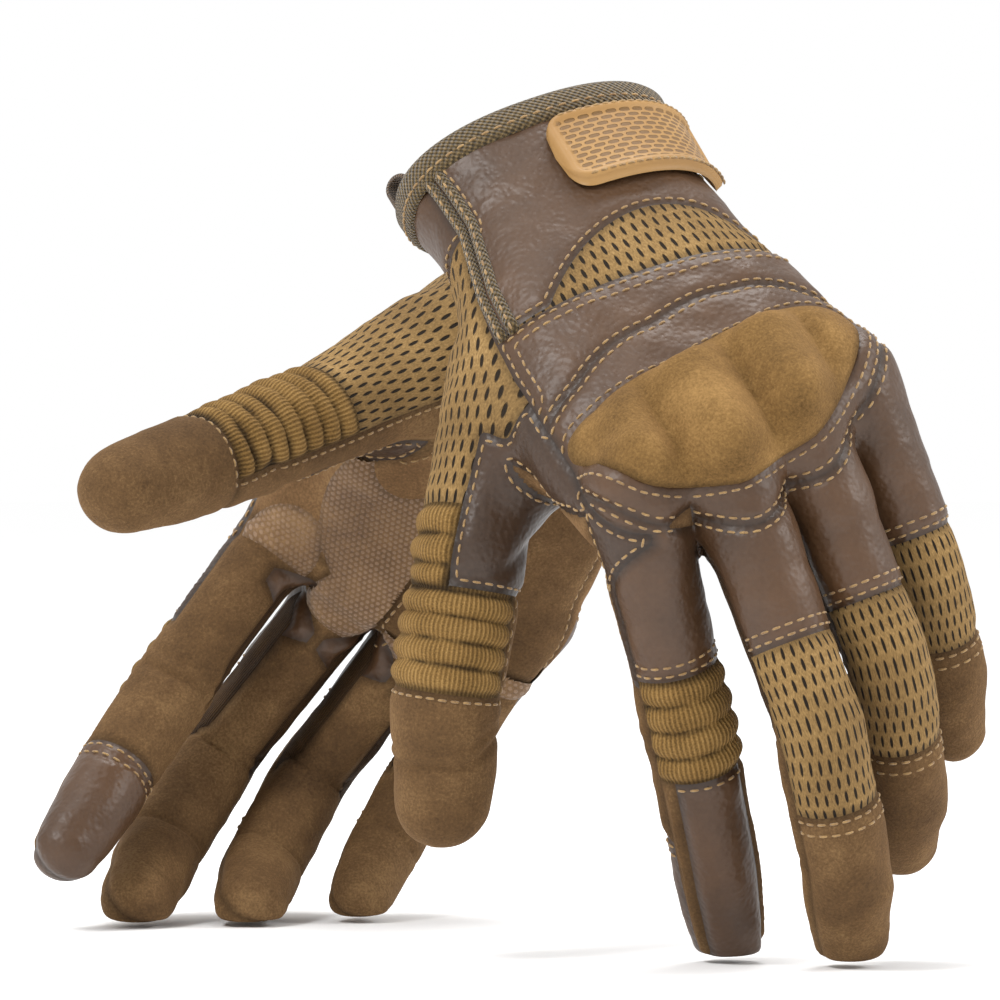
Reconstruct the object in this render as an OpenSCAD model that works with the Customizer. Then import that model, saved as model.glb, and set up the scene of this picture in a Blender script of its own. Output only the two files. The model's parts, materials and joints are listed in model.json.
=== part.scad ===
// Pair of short-cuff riding gloves with knuckle guards, standing on their fingertips.
// Units are millimetres, +Z is up and the floor is z = 0.
// Each glove is designed in a hand frame: +X towards the thumb side, +Y towards the
// fingertips, +Z out of the back of the hand, with the origin at the wrist centre.
// The right glove is the mirror image of the left one. Index 0 is left, 1 is right.

/* [Hand size] */
// Half width of the glove across the knuckles
palm_half_width = 43; // [36:0.5:52]
// Thickness of the hand from the palm to the back, at the knuckles
palm_thickness = 31; // [26:0.5:38]
// Length from the wrist crease to the middle knuckle
palm_length = 95; // [79:1:112]
// Half width of the glove at the wrist
wrist_half_width = 32; // [26.5:0.5:38.5]
// Length of the cuff above the wrist crease
cuff_length = 24; // [20:1:50]

/* [Fingers] */
// Length of a finger from its knuckle to its middle joint, as a share of the palm's length
finger_root_share = 0.54; // [0.46:0.01:0.62]
// Half width of the middle finger at its root
finger_half_width = 10.2; // [8:0.1:10.6]
// Half thickness of the middle finger at its root
finger_half_depth = 11; // [9:0.1:12.5]
// Length of the last two bones of the middle finger together
finger_end_length = 59; // [48:1:70]
// Half width of the thumb
thumb_half_width = 12; // [10:0.25:13.5]
// Length of the thumb from its middle joint to the pad centre
thumb_end_length = 33; // [27:1:39]

/* [Material] */
// Thickness of a panel with its lining
wall = 2; // [1.4:0.1:2.6]
// Play between pieces that turn past each other
play = 0.7; // [0.5:0.1:1]
// Width of the binding tape folded over the cuff edge
binding_width = 7; // [5:0.5:10]
// Thickness of the grip overlay on the palm
grip_thickness = 1.2; // [0.8:0.1:2]

/* [Knuckle guard] */
// Half length of the guard across the knuckles
guard_half_length = 39; // [33:0.5:41]
// Half width of the guard along the hand
guard_half_width = 17; // [13:0.5:19]
// Height of the guard shell above the hand, between the domes
guard_height = 5; // [3:0.25:9]
// Extra height of the four domes
dome_height = 3; // [1:0.25:5]

/* [Wrist strap] */
// Length of the strap tab around the wrist, in degrees
tab_wrap = 74; // [60:1:80]
// Width of the strap tab along the hand
tab_width = 25; // [20:0.5:27]
// Thickness of the moulded strap tab
tab_thickness = 2.6; // [2:0.1:4]

/* [Pull loop] */
// Length of the pull loop outside the cuff
loop_length = 17; // [12:0.5:24]
// Width of the loop's tape
loop_width = 9; // [6:0.5:12]
// Thickness of the loop's tape
loop_tape = 1.4; // [1:0.1:2]

/* [Output] */
// Which piece to draw

/* [Hidden] */
SIDE = ["left", "right"];
FINGER = ["index", "middle", "ring", "little"];

// How each glove stands: wrist place, then turns about the fixed X, Y and Z axes.
WRIST = [[17.8, -30.2], [21.8, 49.8]];
TURN = [[-45, 18.5, -164], [-65, 36.5, 10]];
// Rest bends of the four fingers at the knuckle and at the middle joint, left then right.
KNUCKLE_BEND = [[58, 34, 38, 43], [34, 8, 2, -1]];
MIDDLE_BEND = [[7, 29, 34, 23], [16, 47, 56, 45]];
SPREAD = [[1, 0.5, -1.5, -3.5], [1.5, 0, -1.5, -4.5]];
// The last joint stays at this share of the middle joint's bend.
LAST_SHARE = 0.6;
// Thumb: swing out, swing down, roll, then the bends of its two joints.
THUMB_POSE = [[42, 20, 13, 19, 16], [42, 50, -77, 5, 2]];
// Bends that each kind of joint can add to its rest bend.
FINGER_RANGE = [-20, 40];
THUMB_RANGE = [-12, 30];

// Knuckle centres in the hand frame, and each finger's sizes against the middle finger's.
pw = palm_half_width / 43;
KNUCKLE = [[25 * pw, palm_length - 3, 1], [3 * pw, palm_length, 3],
  [-18.5 * pw, palm_length - 5, 1.5], [-38 * pw, palm_length - 15, -2]];
LENGTH_SHARE = [0.94, 1, 0.95, 0.76];
THICK_SHARE = [1, 1.02, 0.97, 0.88];
ROOT_LENGTH_SHARE = [0.97, 1.07, 0.99, 0.78];
MID_LENGTH = [for (k = LENGTH_SHARE) 0.56 * k * finger_end_length];
TIP_LENGTH = [for (k = LENGTH_SHARE) 0.44 * k * finger_end_length];
ROOT_LENGTH = [for (k = ROOT_LENGTH_SHARE) k * finger_root_share * palm_length];
THUMB_ROOT = [24 * pw, 0.27 * palm_length, -8];
THUMB_LENGTH = [46, 38, thumb_end_length];

// Colours of the materials.
HIDE = [0.30, 0.23, 0.17];
SUEDE = [0.50, 0.37, 0.22];
GRIP = [0.56, 0.43, 0.28];
KNIT = [0.60, 0.46, 0.28];
TAPE = [0.40, 0.33, 0.20];
RUBBERY = [0.68, 0.52, 0.33];
HOOKS = [0.16, 0.13, 0.10];

// Rigid frames as 4 x 4 matrices.
function shift(v) = [[1, 0, 0, v[0]], [0, 1, 0, v[1]], [0, 0, 1, v[2]], [0, 0, 0, 1]];
function turn_x(a) = [[1, 0, 0, 0], [0, cos(a), -sin(a), 0], [0, sin(a), cos(a), 0], [0, 0, 0, 1]];
function turn_y(a) = [[cos(a), 0, sin(a), 0], [0, 1, 0, 0], [-sin(a), 0, cos(a), 0], [0, 0, 0, 1]];
function turn_z(a) = [[cos(a), -sin(a), 0, 0], [sin(a), cos(a), 0, 0], [0, 0, 1, 0], [0, 0, 0, 1]];
function flip_x(g) = [[g == 0 ? 1 : -1, 0, 0, 0], [0, 1, 0, 0], [0, 0, 1, 0], [0, 0, 0, 1]];
function put(m, p) = let (q = m * [p[0], p[1], p[2], 1]) [q[0], q[1], q[2]];
function way(m, p) = let (q = m * [p[0], p[1], p[2], 0]) [q[0], q[1], q[2]];

// Frames of the hand and its fingers, before the wrist is put in its place.
function hand_turn(g) =
  turn_z(TURN[g][2]) * turn_y(TURN[g][1]) * turn_x(TURN[g][0]) * flip_x(g);
function root_turn(g, f) =
  hand_turn(g) * shift(KNUCKLE[f]) * turn_z(-SPREAD[g][f]) * turn_x(-KNUCKLE_BEND[g][f]);
function end_turn(g, f) =
  root_turn(g, f) * shift([0, ROOT_LENGTH[f], 0]) * turn_x(-MIDDLE_BEND[g][f]);
function fingertip(g, f) =
  put(end_turn(g, f) * shift([0, MID_LENGTH[f], 0]) * turn_x(-LAST_SHARE * MIDDLE_BEND[g][f]),
    [0, TIP_LENGTH[f], 0]);
// The lowest fingertip's centre stands this share of the finger's half depth off the floor,
// so the wrist's height follows from how far the fingers hang below it.
TIP_HEIGHT = [0.63817, 0.52731];
WRIST_HEIGHT = [for (g = [0, 1])
  TIP_HEIGHT[g] * finger_half_depth - min([for (f = [0:3]) fingertip(g, f)[2]])];
function placed(g) = shift([WRIST[g][0], WRIST[g][1], WRIST_HEIGHT[g]]);
function hand_m(g) = placed(g) * hand_turn(g);
function root_m(g, f) = placed(g) * root_turn(g, f);
function end_m(g, f) = placed(g) * end_turn(g, f);
function thumb_base_m(g) =
  hand_m(g) * shift(THUMB_ROOT) * turn_z(-THUMB_POSE[g][0]) * turn_x(-THUMB_POSE[g][1])
  * turn_y(THUMB_POSE[g][2]);
function thumb_rib_m(g) =
  thumb_base_m(g) * shift([0, THUMB_LENGTH[0], 0]) * turn_x(-THUMB_POSE[g][3]);
function thumb_tip_m(g) =
  thumb_rib_m(g) * shift([0, THUMB_LENGTH[1], 0]) * turn_x(-THUMB_POSE[g][4]);

// A closed shell between an outer and an inner grid of points. Rows run along the piece,
// columns run around it. A looped shell closes on itself, and a capped one closes at its
// last row. The flag turned says that the grid runs the other way round.
function quads(rows, cols, step, base, back) = [
  for (j = [0:rows - 2]) for (i = [0:cols - 1])
    let (n = (i + 1) % step, a = base + j * step + i, b = base + j * step + n,
      c = base + (j + 1) * step + n, d = base + (j + 1) * step + i)
      each back ? [[a, d, c], [a, c, b]] : [[a, b, c], [a, c, d]]];
function rims(rows, step, n, looped, capped) = [
  for (i = [0:(looped ? step : step - 1) - 1])
    let (k = (i + 1) % step) each [[i, n + i, n + k], [i, n + k, k]],
  if (!capped) for (i = [0:(looped ? step : step - 1) - 1])
    let (k = (i + 1) % step, o = (rows - 1) * step)
      each [[o + i, o + k, n + o + k], [o + i, n + o + k, n + o + i]],
  if (!looped) for (j = [0:rows - 2])
    let (a = j * step, d = (j + 1) * step)
      each [[a, d, n + d], [a, n + d, n + a]],
  if (!looped) for (j = [0:rows - 2])
    let (a = j * step + step - 1, d = (j + 1) * step + step - 1)
      each [[a, n + d, d], [a, n + a, n + d]],
  if (capped) [for (i = [0:step - 1]) (rows - 1) * step + i],
  if (capped) [for (i = [0:step - 1]) n + (rows - 1) * step + step - 1 - i]];
function reversed(f) = [for (i = [len(f) - 1:-1:0]) f[i]];
module shell(outer, inner, looped = false, capped = false, turned = false) {
  rows = len(outer);
  step = len(outer[0]);
  n = rows * step;
  cols = looped ? step : step - 1;
  faces = concat(quads(rows, cols, step, 0, false), quads(rows, cols, step, n, true),
    rims(rows, step, n, looped, capped));
  polyhedron(points = [for (r = outer) each r, for (r = inner) each r],
    faces = turned ? [for (f = faces) reversed(f)] : faces, convexity = 6);
}

// Rounded cross-section shared by the hand and the fingers.
ROUND = 0.88;
function bulge(c) = sign(c) * pow(abs(c), ROUND);

// The outside of the hand by angle (0 thumb side, 90 back, 180 outer side, 270 palm) and
// place along the hand, raised by d. Tables are read along the hand from the cuff edge.
ZONE = [-cuff_length, -cuff_length / 2, 0, 0.22 * palm_length, 0.48 * palm_length,
  0.74 * palm_length, palm_length];
function table(v) = [for (i = [0:len(ZONE) - 1]) [ZONE[i], v[i]]];
ww = wrist_half_width;
HALF_W = table([ww + 2, ww + 0.5, ww, ww + 4, palm_half_width - 2.5, palm_half_width,
  palm_half_width + 1]);
BACK_D = table([20, 19.5, 19, 18.5, 17.5, 0.53 * palm_thickness, 0.5 * palm_thickness]);
PALM_D = table([19.5, 19, 18.5, 20, 20, 0.55 * palm_thickness, 0.5 * palm_thickness]);
MID_X = table([0, 0, 0, 1, -1, -4 * pw, -6 * pw]);
// The far edge of the hand shell follows the knuckle row, leaving room for the fingers.
EDGE_Y = [[-46 * pw, palm_length - 19], for (k = [3:-1:0]) [KNUCKLE[k][0], KNUCKLE[k][1]],
  [38 * pw, palm_length - 9]];
// Both faces of a joint lie on planes through its axis, opened for the bends it can make.
function miter(b, rest, range, th) =
  b * bulge(sin(th)) * tan((rest + (sin(th) > 0 ? range[0] : range[1])) / 2) - play;
function rest_at(g, x) = lookup(x, [for (k = [3:-1:0]) [KNUCKLE[k][0], KNUCKLE_BEND[g][k]]]);
function hand_pt(g, th, y, d = 0) =
  let (x = lookup(y, MID_X) + (lookup(y, HALF_W) + d) * bulge(cos(th)),
    depth = sin(th) > 0 ? lookup(y, BACK_D) : lookup(y, PALM_D),
    z = 1 + (depth + d) * bulge(sin(th)), from = 0.6 * palm_length,
    edge = lookup(x, EDGE_Y) + miter(palm_thickness / 2, rest_at(g, x), FINGER_RANGE, th),
    yy = y < from ? y : from + (y - from) * (edge - from) / (palm_length - from))
  [x, yy, z];
// A panel of the hand between two angles, with its two ends given as functions' values
// per column: from[i] and to[i] are places along the hand.
function steps(a, b, n) = [for (i = [0:n]) a + (b - a) * i / n];
function panel_grid(g, angles, from, to, rows, d) =
  [for (j = [0:rows]) [for (i = [0:len(angles) - 1])
    put(hand_m(g), hand_pt(g, angles[i], from[i] + (to[i] - from[i]) * j / rows, d))]];
function same(angles, v) = [for (a = angles) v];
module hand_panel(g, angles, from, to, rows, low, high) {
  shell(panel_grid(g, angles, from, to, rows, high), panel_grid(g, angles, from, to, rows, low),
    turned = g == 1);
}

// A piece laid on a panel starts this far above its surface.
UNDER = 0.15;
// Angles where the panels of the hand meet.
ULNAR_BACK = 165;
ULNAR_PALM = 202;
THUMB_PALM = 302;
THUMB_BACK = 390;
// The opening that the thumb comes out of, along the hand.
thumb_from = 0.1 * palm_length;
thumb_to = 0.56 * palm_length;
back_from = 34;
// The cuff's lower edge dips to take the crescent of mesh.
function crescent(th) = back_from - max(0.6, 18 * (1 - pow((th - 111) / 54, 2)));

module palm_panel(g) {
  a = steps(ULNAR_PALM, THUMB_PALM, 12);
  color(SUEDE) hand_panel(g, a, same(a, 0), same(a, palm_length), 10, -wall, 0);
}
module palm_grip(g) {
  a = steps(ULNAR_PALM + 12, THUMB_PALM - 4, 10);
  color(GRIP) hand_panel(g, a, same(a, 0.25 * palm_length), same(a, 0.97 * palm_length), 8,
    UNDER, grip_thickness);
}
module back_panel(g) {
  a = steps(THUMB_BACK - 360, ULNAR_BACK, 15);
  color(HIDE) hand_panel(g, a, same(a, back_from), same(a, palm_length), 10, -wall, 0);
}
module cuff_panel(g) {
  a = steps(THUMB_BACK - 360, ULNAR_BACK, 15);
  color(HIDE) hand_panel(g, a, same(a, -cuff_length), [for (t = a) crescent(t)], 7, -wall, 0);
}
module mesh_insert(g) {
  a = steps(57, ULNAR_BACK, 12);
  color(KNIT) hand_panel(g, a, [for (t = a) crescent(t)], same(a, back_from), 2, -wall, 0);
}
module cuff_underside(g) {
  a = steps(ULNAR_BACK, THUMB_BACK, 20);
  color(HIDE) hand_panel(g, a, same(a, -cuff_length), same(a, 0), 4, -wall, 0);
}
module side_mesh(g) {
  a = steps(THUMB_PALM, THUMB_BACK - 0.5, 8);
  color(KNIT) hand_panel(g, a, same(a, 0), same(a, thumb_from), 2, -wall, 0);
}
module ulnar_panel(g) {
  a = steps(ULNAR_BACK, ULNAR_PALM, 5);
  color(SUEDE) hand_panel(g, a, same(a, 0), same(a, palm_length), 10, -wall, 0);
}
module web_patch(g) {
  a = steps(THUMB_PALM, THUMB_BACK, 9);
  color(HIDE) hand_panel(g, a, same(a, thumb_to), same(a, palm_length), 5, -wall, 0);
}
module hook_patch(g) {
  a = steps(100, 150, 6);
  color(HOOKS) hand_panel(g, a, same(a, 9 - cuff_length), same(a, tab_width + 1 - cuff_length), 3, UNDER, 1);
}
// The tape is folded over the cuff edge, and a second run follows the slit at the thumb side.
module cuff_binding(g) {
  lip = 0.9;
  c = cuff_length;
  angles = [for (i = [0:31]) i * 360 / 32];
  high = [[-c - lip, lip], [-c - 0.3, lip], [0.3 - c, lip], [binding_width - c, lip]];
  low = [[-c - lip, -wall], [-c, -wall], [-c, UNDER], [binding_width - c, UNDER]];
  slit = steps(31, 43, 2);
  color(TAPE) {
    shell([for (r = high) [for (t = angles) put(hand_m(g), hand_pt(g, t, r[0], r[1]))]],
      [for (r = low) [for (t = angles) put(hand_m(g), hand_pt(g, t, r[0], r[1]))]],
      looped = true, turned = g == 1);
    hand_panel(g, slit, same(slit, binding_width - c), same(slit, back_from - 1), 7, UNDER, lip);
  }
}

// The knuckle guard is an oval shell over the knuckle row with four domes.
guard_y = palm_length - 15;
function dome(x) = max([for (k = KNUCKLE) max(0, 1 - pow((x - k[0]) / 9.5, 2))]);
function guard_base(x, y, d) =
  let (h = (x - lookup(palm_length, MID_X)) / (palm_half_width + 1),
    c = pow(max(0, 1 - pow(abs(h), 2 / ROUND)), ROUND / 2))
  1 + (lookup(y, BACK_D) + d) * c;
function guard_pt(r, t, raise) =
  let (x = lookup(palm_length, MID_X) + pw * (3 + 0.96 * guard_half_length * r * cos(t)),
    y0 = guard_y + guard_half_width * r * sin(t),
    y = y0 + (lookup(x, EDGE_Y) - palm_length) * 0.8,
    k = 1 - pow(r, 3))
  [x, y, guard_base(x, y0, 1.2) + raise * (0.9 + guard_height * k + dome_height * dome(x) * k)];
module knuckle_guard(g) {
  rings = [1, 0.93, 0.82, 0.66, 0.46, 0.22];
  angles = [for (i = [0:23]) -i * 15];
  color(SUEDE) shell([for (r = rings) [for (t = angles) put(hand_m(g), guard_pt(r, t, 1))]],
    [for (r = rings) [for (t = angles) put(hand_m(g), guard_pt(r, t, 0))]],
    looped = true, capped = true, turned = g == 1);
}

// The strap tab closes over the back of the cuff and peels from its outer end.
tab_to = 170;
tab_from = tab_to - tab_wrap;
module strap_tab(g) {
  a = steps(tab_from, tab_to, 12);
  low = 1 + play;
  // The free end is rounded.
  inset = [for (t = a) let (u = (t - tab_from) / 22) u < 1 ? 6 * pow(1 - u, 2) : 0];
  y0 = 5 - cuff_length;
  from = [for (i = [0:12]) y0 + inset[i] + binding_width - 4];
  to = [for (i = [0:12]) y0 + tab_width - inset[i] + 1];
  color(RUBBERY) hand_panel(g, a, from, to, 5, low, low + tab_thickness);
}
tab_y = 5 - cuff_length + tab_width / 2;
tab_hinge = hand_pt(0, tab_to, tab_y, 1 + play + tab_thickness / 2);
tab_axis = tab_hinge - hand_pt(0, tab_to, tab_y + 1, 1 + play + tab_thickness / 2);

// The pull loop is a flat ring of tape that leaves the cuff edge on the palm side.
loop_angle = 318;
loop_bore = 2.2;
function loop_m(g) =
  hand_m(g) * shift(hand_pt(g, loop_angle, -cuff_length, -1) + [0, -1.4, 0]) * turn_y(90 - loop_angle);
function loop_ring(x, r) =
  let (round = loop_bore + loop_tape)
  [for (i = [0:23]) let (t = i * 15)
    [x, (sin(t) >= 0 ? -round : round - loop_length) + r * sin(t), r * cos(t)]];
module pull_loop(g) {
  rows = [-loop_width / 2, 0, loop_width / 2];
  color(TAPE) shell([for (x = rows) [for (p = loop_ring(x, loop_bore + loop_tape)) put(loop_m(g), p)]],
    [for (x = rows) [for (p = loop_ring(x, loop_bore)) put(loop_m(g), p)]],
    looped = true, turned = g == 1);
}

// Fingers: a first segment split into a leather back and a suede inner side, then one
// closed end piece that bends at the last joint.
COLS = 14;
function finger_ring(a, b, y, th0, th1, n, d, looped) =
  [for (i = [0:looped ? n - 1 : n]) let (t = th0 + (th1 - th0) * i / n)
    [(a + d) * bulge(cos(t)), y, (b + d) * bulge(sin(t))]];
// A row at the share u of a length between a first and a second joint's bends.
function joint_row(a, b, length, u, bends, range, th0, th1, n, d, looped) =
  [for (i = [0:looped ? n - 1 : n]) let (t = th0 + (th1 - th0) * i / n,
      first = -miter(b, bends[0], range, t), last = length + miter(b, bends[1], range, t))
    [(a + d) * bulge(cos(t)), first * (1 - u) + last * u, (b + d) * bulge(sin(t))]];
function root_grid(g, f, t0, t1, n, d) =
  let (k = THICK_SHARE[f], a = finger_half_width * k, b = finger_half_depth * k)
  [for (j = [0:5]) let (u = j / 5)
    [for (p = joint_row(a * (1 - 0.04 * u), b * (1 - 0.1 * u), ROOT_LENGTH[f], u,
      [KNUCKLE_BEND[g][f], MIDDLE_BEND[g][f]], FINGER_RANGE, t0, t1, n, d, false))
      put(root_m(g, f), p)]];
module finger_sleeve(g, f) {
  color(HIDE) shell(root_grid(g, f, 12, 168, 8, 0), root_grid(g, f, 12, 168, 8, -wall),
    turned = g == 1);
}
module finger_inner(g, f) {
  color(SUEDE) shell(root_grid(g, f, 168, 372, 10, 0), root_grid(g, f, 168, 372, 10, -wall),
    turned = g == 1);
}
// The end piece stands on the floor, so anything below it is flattened.
function on_floor(p, low) = [p[0], p[1], max(p[2], low)];
function end_grid(m, a, b, mid, tip, rest, range, bend, d, low) =
  let (last = m * shift([0, mid, 0]) * turn_x(-bend),
    half = m * shift([0, mid, 0]) * turn_x(-bend / 2), e = b * 0.78)
  concat(
    [for (u = [0, 0.5]) [for (p = joint_row(a, b * (1 - 0.06 * u), 0.8 * mid, u, [rest, 0],
      u == 0 ? range : [0, 0], 0, 360, COLS, d, true)) put(m, p)]],
    [[for (p = finger_ring(a, b * 0.95, 0.8 * mid, 0, 360, COLS, d, true)) put(m, p)]],
    [[for (p = finger_ring(a * 0.96, b * 0.93, 0, 0, 360, COLS, d, true)) put(half, p)]],
    [for (q = [[0.3, 0.94, 0.9], [0.7, 0.9, 0.84], [1, 0.84, 0.78]])
      [for (p = finger_ring(a * q[1], b * q[2], q[0] * tip, 0, 360, COLS, d, true))
        on_floor(put(last, p), low)]],
    [for (t = [30, 52, 70, 82])
      [for (p = finger_ring((a * 0.84 + d) * cos(t), (e + d) * cos(t),
        tip + (e + d) * sin(t), 0, 360, COLS, 0, true)) on_floor(put(last, p), low)]]);
module end_piece(m, a, b, mid, tip, rest, range, bend, g) {
  shell(end_grid(m, a, b, mid, tip, rest, range, bend, 0, 0),
    end_grid(m, a, b, mid, tip, rest, range, bend, -wall, wall),
    looped = true, capped = true, turned = g == 1);
}
module finger_tip(g, f) {
  k = THICK_SHARE[f];
  color(KNIT) end_piece(end_m(g, f), 0.95 * k * finger_half_width, 0.9 * k * finger_half_depth,
    MID_LENGTH[f], TIP_LENGTH[f], MIDDLE_BEND[g][f], FINGER_RANGE,
    LAST_SHARE * MIDDLE_BEND[g][f], g);
}

// Thumb: a flared base that grows out of the hand's opening, a ribbed segment and a tip.
tw = thumb_half_width;
td = 0.92 * tw;
function opening_rim(g, d) = concat(
  [for (i = [0:7]) hand_pt(g, THUMB_PALM + (THUMB_BACK - THUMB_PALM) * i / 8, thumb_from, d)],
  [for (i = [0:7]) hand_pt(g, THUMB_BACK, thumb_from + (thumb_to - thumb_from) * i / 8, d)],
  [for (i = [0:7]) hand_pt(g, THUMB_BACK - (THUMB_BACK - THUMB_PALM) * i / 8, thumb_to, d)],
  [for (i = [0:7]) hand_pt(g, THUMB_PALM, thumb_to - (thumb_to - thumb_from) * i / 8, d)]);
function blend(p, q, u) = p * (1 - u) + q * u;
function mean(v) = [for (k = [0:2]) sum([for (p = v) p[k]]) / len(v)];
function sum(v, i = 0) = i < len(v) ? v[i] + sum(v, i + 1) : 0;
// The far ring starts at the angle that faces the rim's first corner.
function facing(m, v) = atan2(v * way(m, [0, 0, 1]), v * way(m, [1, 0, 0]));
function base_grid(g, d) =
  let (rim = [for (p = opening_rim(g, d)) put(hand_m(g), p)], m = thumb_base_m(g),
    l = THUMB_LENGTH[0], from = facing(m, rim[0] - mean(rim)))
  [for (j = [0:6]) let (u = j / 6, v = 0.65 * u + 0.35 * u * u * (3 - 2 * u))
    [for (i = [0:31]) let (t = from + i * 360 / 32,
      p = put(m, [(tw + d + 3 * (1 - u)) * bulge(cos(t)),
        l * (0.45 + 0.55 * u) + u * miter(td, THUMB_POSE[g][3], THUMB_RANGE, t),
        (td + d + 3 * (1 - u)) * bulge(sin(t))]))
      blend(rim[i], p, v)]];
module thumb_base(g) {
  color(KNIT) shell(base_grid(g, 0), base_grid(g, -wall), looped = true, turned = g == 1);
}
function rib_grid(g, d) =
  [for (j = [0:4])
    [for (p = joint_row(tw, td, THUMB_LENGTH[1], j / 4, [THUMB_POSE[g][3], THUMB_POSE[g][4]],
      THUMB_RANGE, 0, 360, COLS, d, true)) put(thumb_rib_m(g), p)]];
module thumb_ribs(g) {
  color(KNIT) shell(rib_grid(g, 0), rib_grid(g, -wall), looped = true, turned = g == 1);
}
module thumb_tip(g) {
  color(SUEDE) end_piece(thumb_tip_m(g), tw, 0.94 * td, 0.45 * THUMB_LENGTH[2],
    0.55 * THUMB_LENGTH[2], THUMB_POSE[g][4], THUMB_RANGE, 6, g);
}

// Places and directions of the joints, for the table of joints.
function spin(g, m, v) = way(m, v) * (g == 0 ? 1 : -1);
for (g = [0, 1]) {
  for (f = [0:3]) {
    echo(str("J ", SIDE[g], "_", FINGER[f], "_knuckle"), put(root_m(g, f), [0, 0, 0]),
      spin(g, root_m(g, f), [-1, 0, 0]));
    echo(str("J ", SIDE[g], "_", FINGER[f], "_middle"), put(end_m(g, f), [0, 0, 0]),
      spin(g, end_m(g, f), [-1, 0, 0]));
    echo(str("P ", SIDE[g], "_", FINGER[f], "_pad"),
      put(end_m(g, f) * shift([0, MID_LENGTH[f], 0]) * turn_x(-LAST_SHARE * MIDDLE_BEND[g][f]),
        [0, TIP_LENGTH[f], 0]));
  }
  echo(str("J ", SIDE[g], "_thumb_lower"), put(thumb_rib_m(g), [0, 0, 0]),
    spin(g, thumb_rib_m(g), [-1, 0, 0]));
  echo(str("J ", SIDE[g], "_thumb_upper"), put(thumb_tip_m(g), [0, 0, 0]),
    spin(g, thumb_tip_m(g), [-1, 0, 0]));
  echo(str("J ", SIDE[g], "_strap_peel"), put(hand_m(g), tab_hinge), spin(g, hand_m(g), tab_axis));
  echo(str("J ", SIDE[g], "_loop_flop"), put(loop_m(g), [0, 0, 0]), spin(g, loop_m(g), [1, 0, 0]));
  echo(str("H ", SIDE[g], "_hand"), hand_m(g));
  echo(str("M ", SIDE[g], "_cuff"), put(hand_m(g), [0, -cuff_length, 1]), way(hand_m(g), [0, -1, 0]));
}

module left_palm_panel() palm_panel(0);
module left_palm_grip() palm_grip(0);
module left_back_panel() back_panel(0);
module left_knuckle_guard() knuckle_guard(0);
module left_cuff_panel() cuff_panel(0);
module left_mesh_insert() mesh_insert(0);
module left_cuff_underside() cuff_underside(0);
module left_cuff_binding() cuff_binding(0);
module left_hook_patch() hook_patch(0);
module left_side_mesh() side_mesh(0);
module left_ulnar_panel() ulnar_panel(0);
module left_thumb_base() thumb_base(0);
module left_web_patch() web_patch(0);
module left_strap_tab() strap_tab(0);
module left_pull_loop() pull_loop(0);
module left_thumb_ribs() thumb_ribs(0);
module left_thumb_tip() thumb_tip(0);
module left_index_sleeve() finger_sleeve(0, 0);
module left_index_inner() finger_inner(0, 0);
module left_index_tip() finger_tip(0, 0);
module left_middle_sleeve() finger_sleeve(0, 1);
module left_middle_inner() finger_inner(0, 1);
module left_middle_tip() finger_tip(0, 1);
module left_ring_sleeve() finger_sleeve(0, 2);
module left_ring_inner() finger_inner(0, 2);
module left_ring_tip() finger_tip(0, 2);
module left_little_sleeve() finger_sleeve(0, 3);
module left_little_inner() finger_inner(0, 3);
module left_little_tip() finger_tip(0, 3);
module right_palm_panel() palm_panel(1);
module right_palm_grip() palm_grip(1);
module right_back_panel() back_panel(1);
module right_knuckle_guard() knuckle_guard(1);
module right_cuff_panel() cuff_panel(1);
module right_mesh_insert() mesh_insert(1);
module right_cuff_underside() cuff_underside(1);
module right_cuff_binding() cuff_binding(1);
module right_hook_patch() hook_patch(1);
module right_side_mesh() side_mesh(1);
module right_ulnar_panel() ulnar_panel(1);
module right_thumb_base() thumb_base(1);
module right_web_patch() web_patch(1);
module right_strap_tab() strap_tab(1);
module right_pull_loop() pull_loop(1);
module right_thumb_ribs() thumb_ribs(1);
module right_thumb_tip() thumb_tip(1);
module right_index_sleeve() finger_sleeve(1, 0);
module right_index_inner() finger_inner(1, 0);
module right_index_tip() finger_tip(1, 0);
module right_middle_sleeve() finger_sleeve(1, 1);
module right_middle_inner() finger_inner(1, 1);
module right_middle_tip() finger_tip(1, 1);
module right_ring_sleeve() finger_sleeve(1, 2);
module right_ring_inner() finger_inner(1, 2);
module right_ring_tip() finger_tip(1, 2);
module right_little_sleeve() finger_sleeve(1, 3);
module right_little_inner() finger_inner(1, 3);
module right_little_tip() finger_tip(1, 3);

left_palm_panel();
left_palm_grip();
left_back_panel();
left_knuckle_guard();
left_cuff_panel();
left_mesh_insert();
left_cuff_underside();
left_cuff_binding();
left_hook_patch();
left_side_mesh();
left_ulnar_panel();
left_thumb_base();
left_web_patch();
left_strap_tab();
left_pull_loop();
left_thumb_ribs();
left_thumb_tip();
left_index_sleeve();
left_index_inner();
left_index_tip();
left_middle_sleeve();
left_middle_inner();
left_middle_tip();
left_ring_sleeve();
left_ring_inner();
left_ring_tip();
left_little_sleeve();
left_little_inner();
left_little_tip();
right_palm_panel();
right_palm_grip();
right_back_panel();
right_knuckle_guard();
right_cuff_panel();
right_mesh_insert();
right_cuff_underside();
right_cuff_binding();
right_hook_patch();
right_side_mesh();
right_ulnar_panel();
right_thumb_base();
right_web_patch();
right_strap_tab();
right_pull_loop();
right_thumb_ribs();
right_thumb_tip();
right_index_sleeve();
right_index_inner();
right_index_tip();
right_middle_sleeve();
right_middle_inner();
right_middle_tip();
right_ring_sleeve();
right_ring_inner();
right_ring_tip();
right_little_sleeve();
right_little_inner();
right_little_tip();
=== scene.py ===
import json
import math

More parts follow.
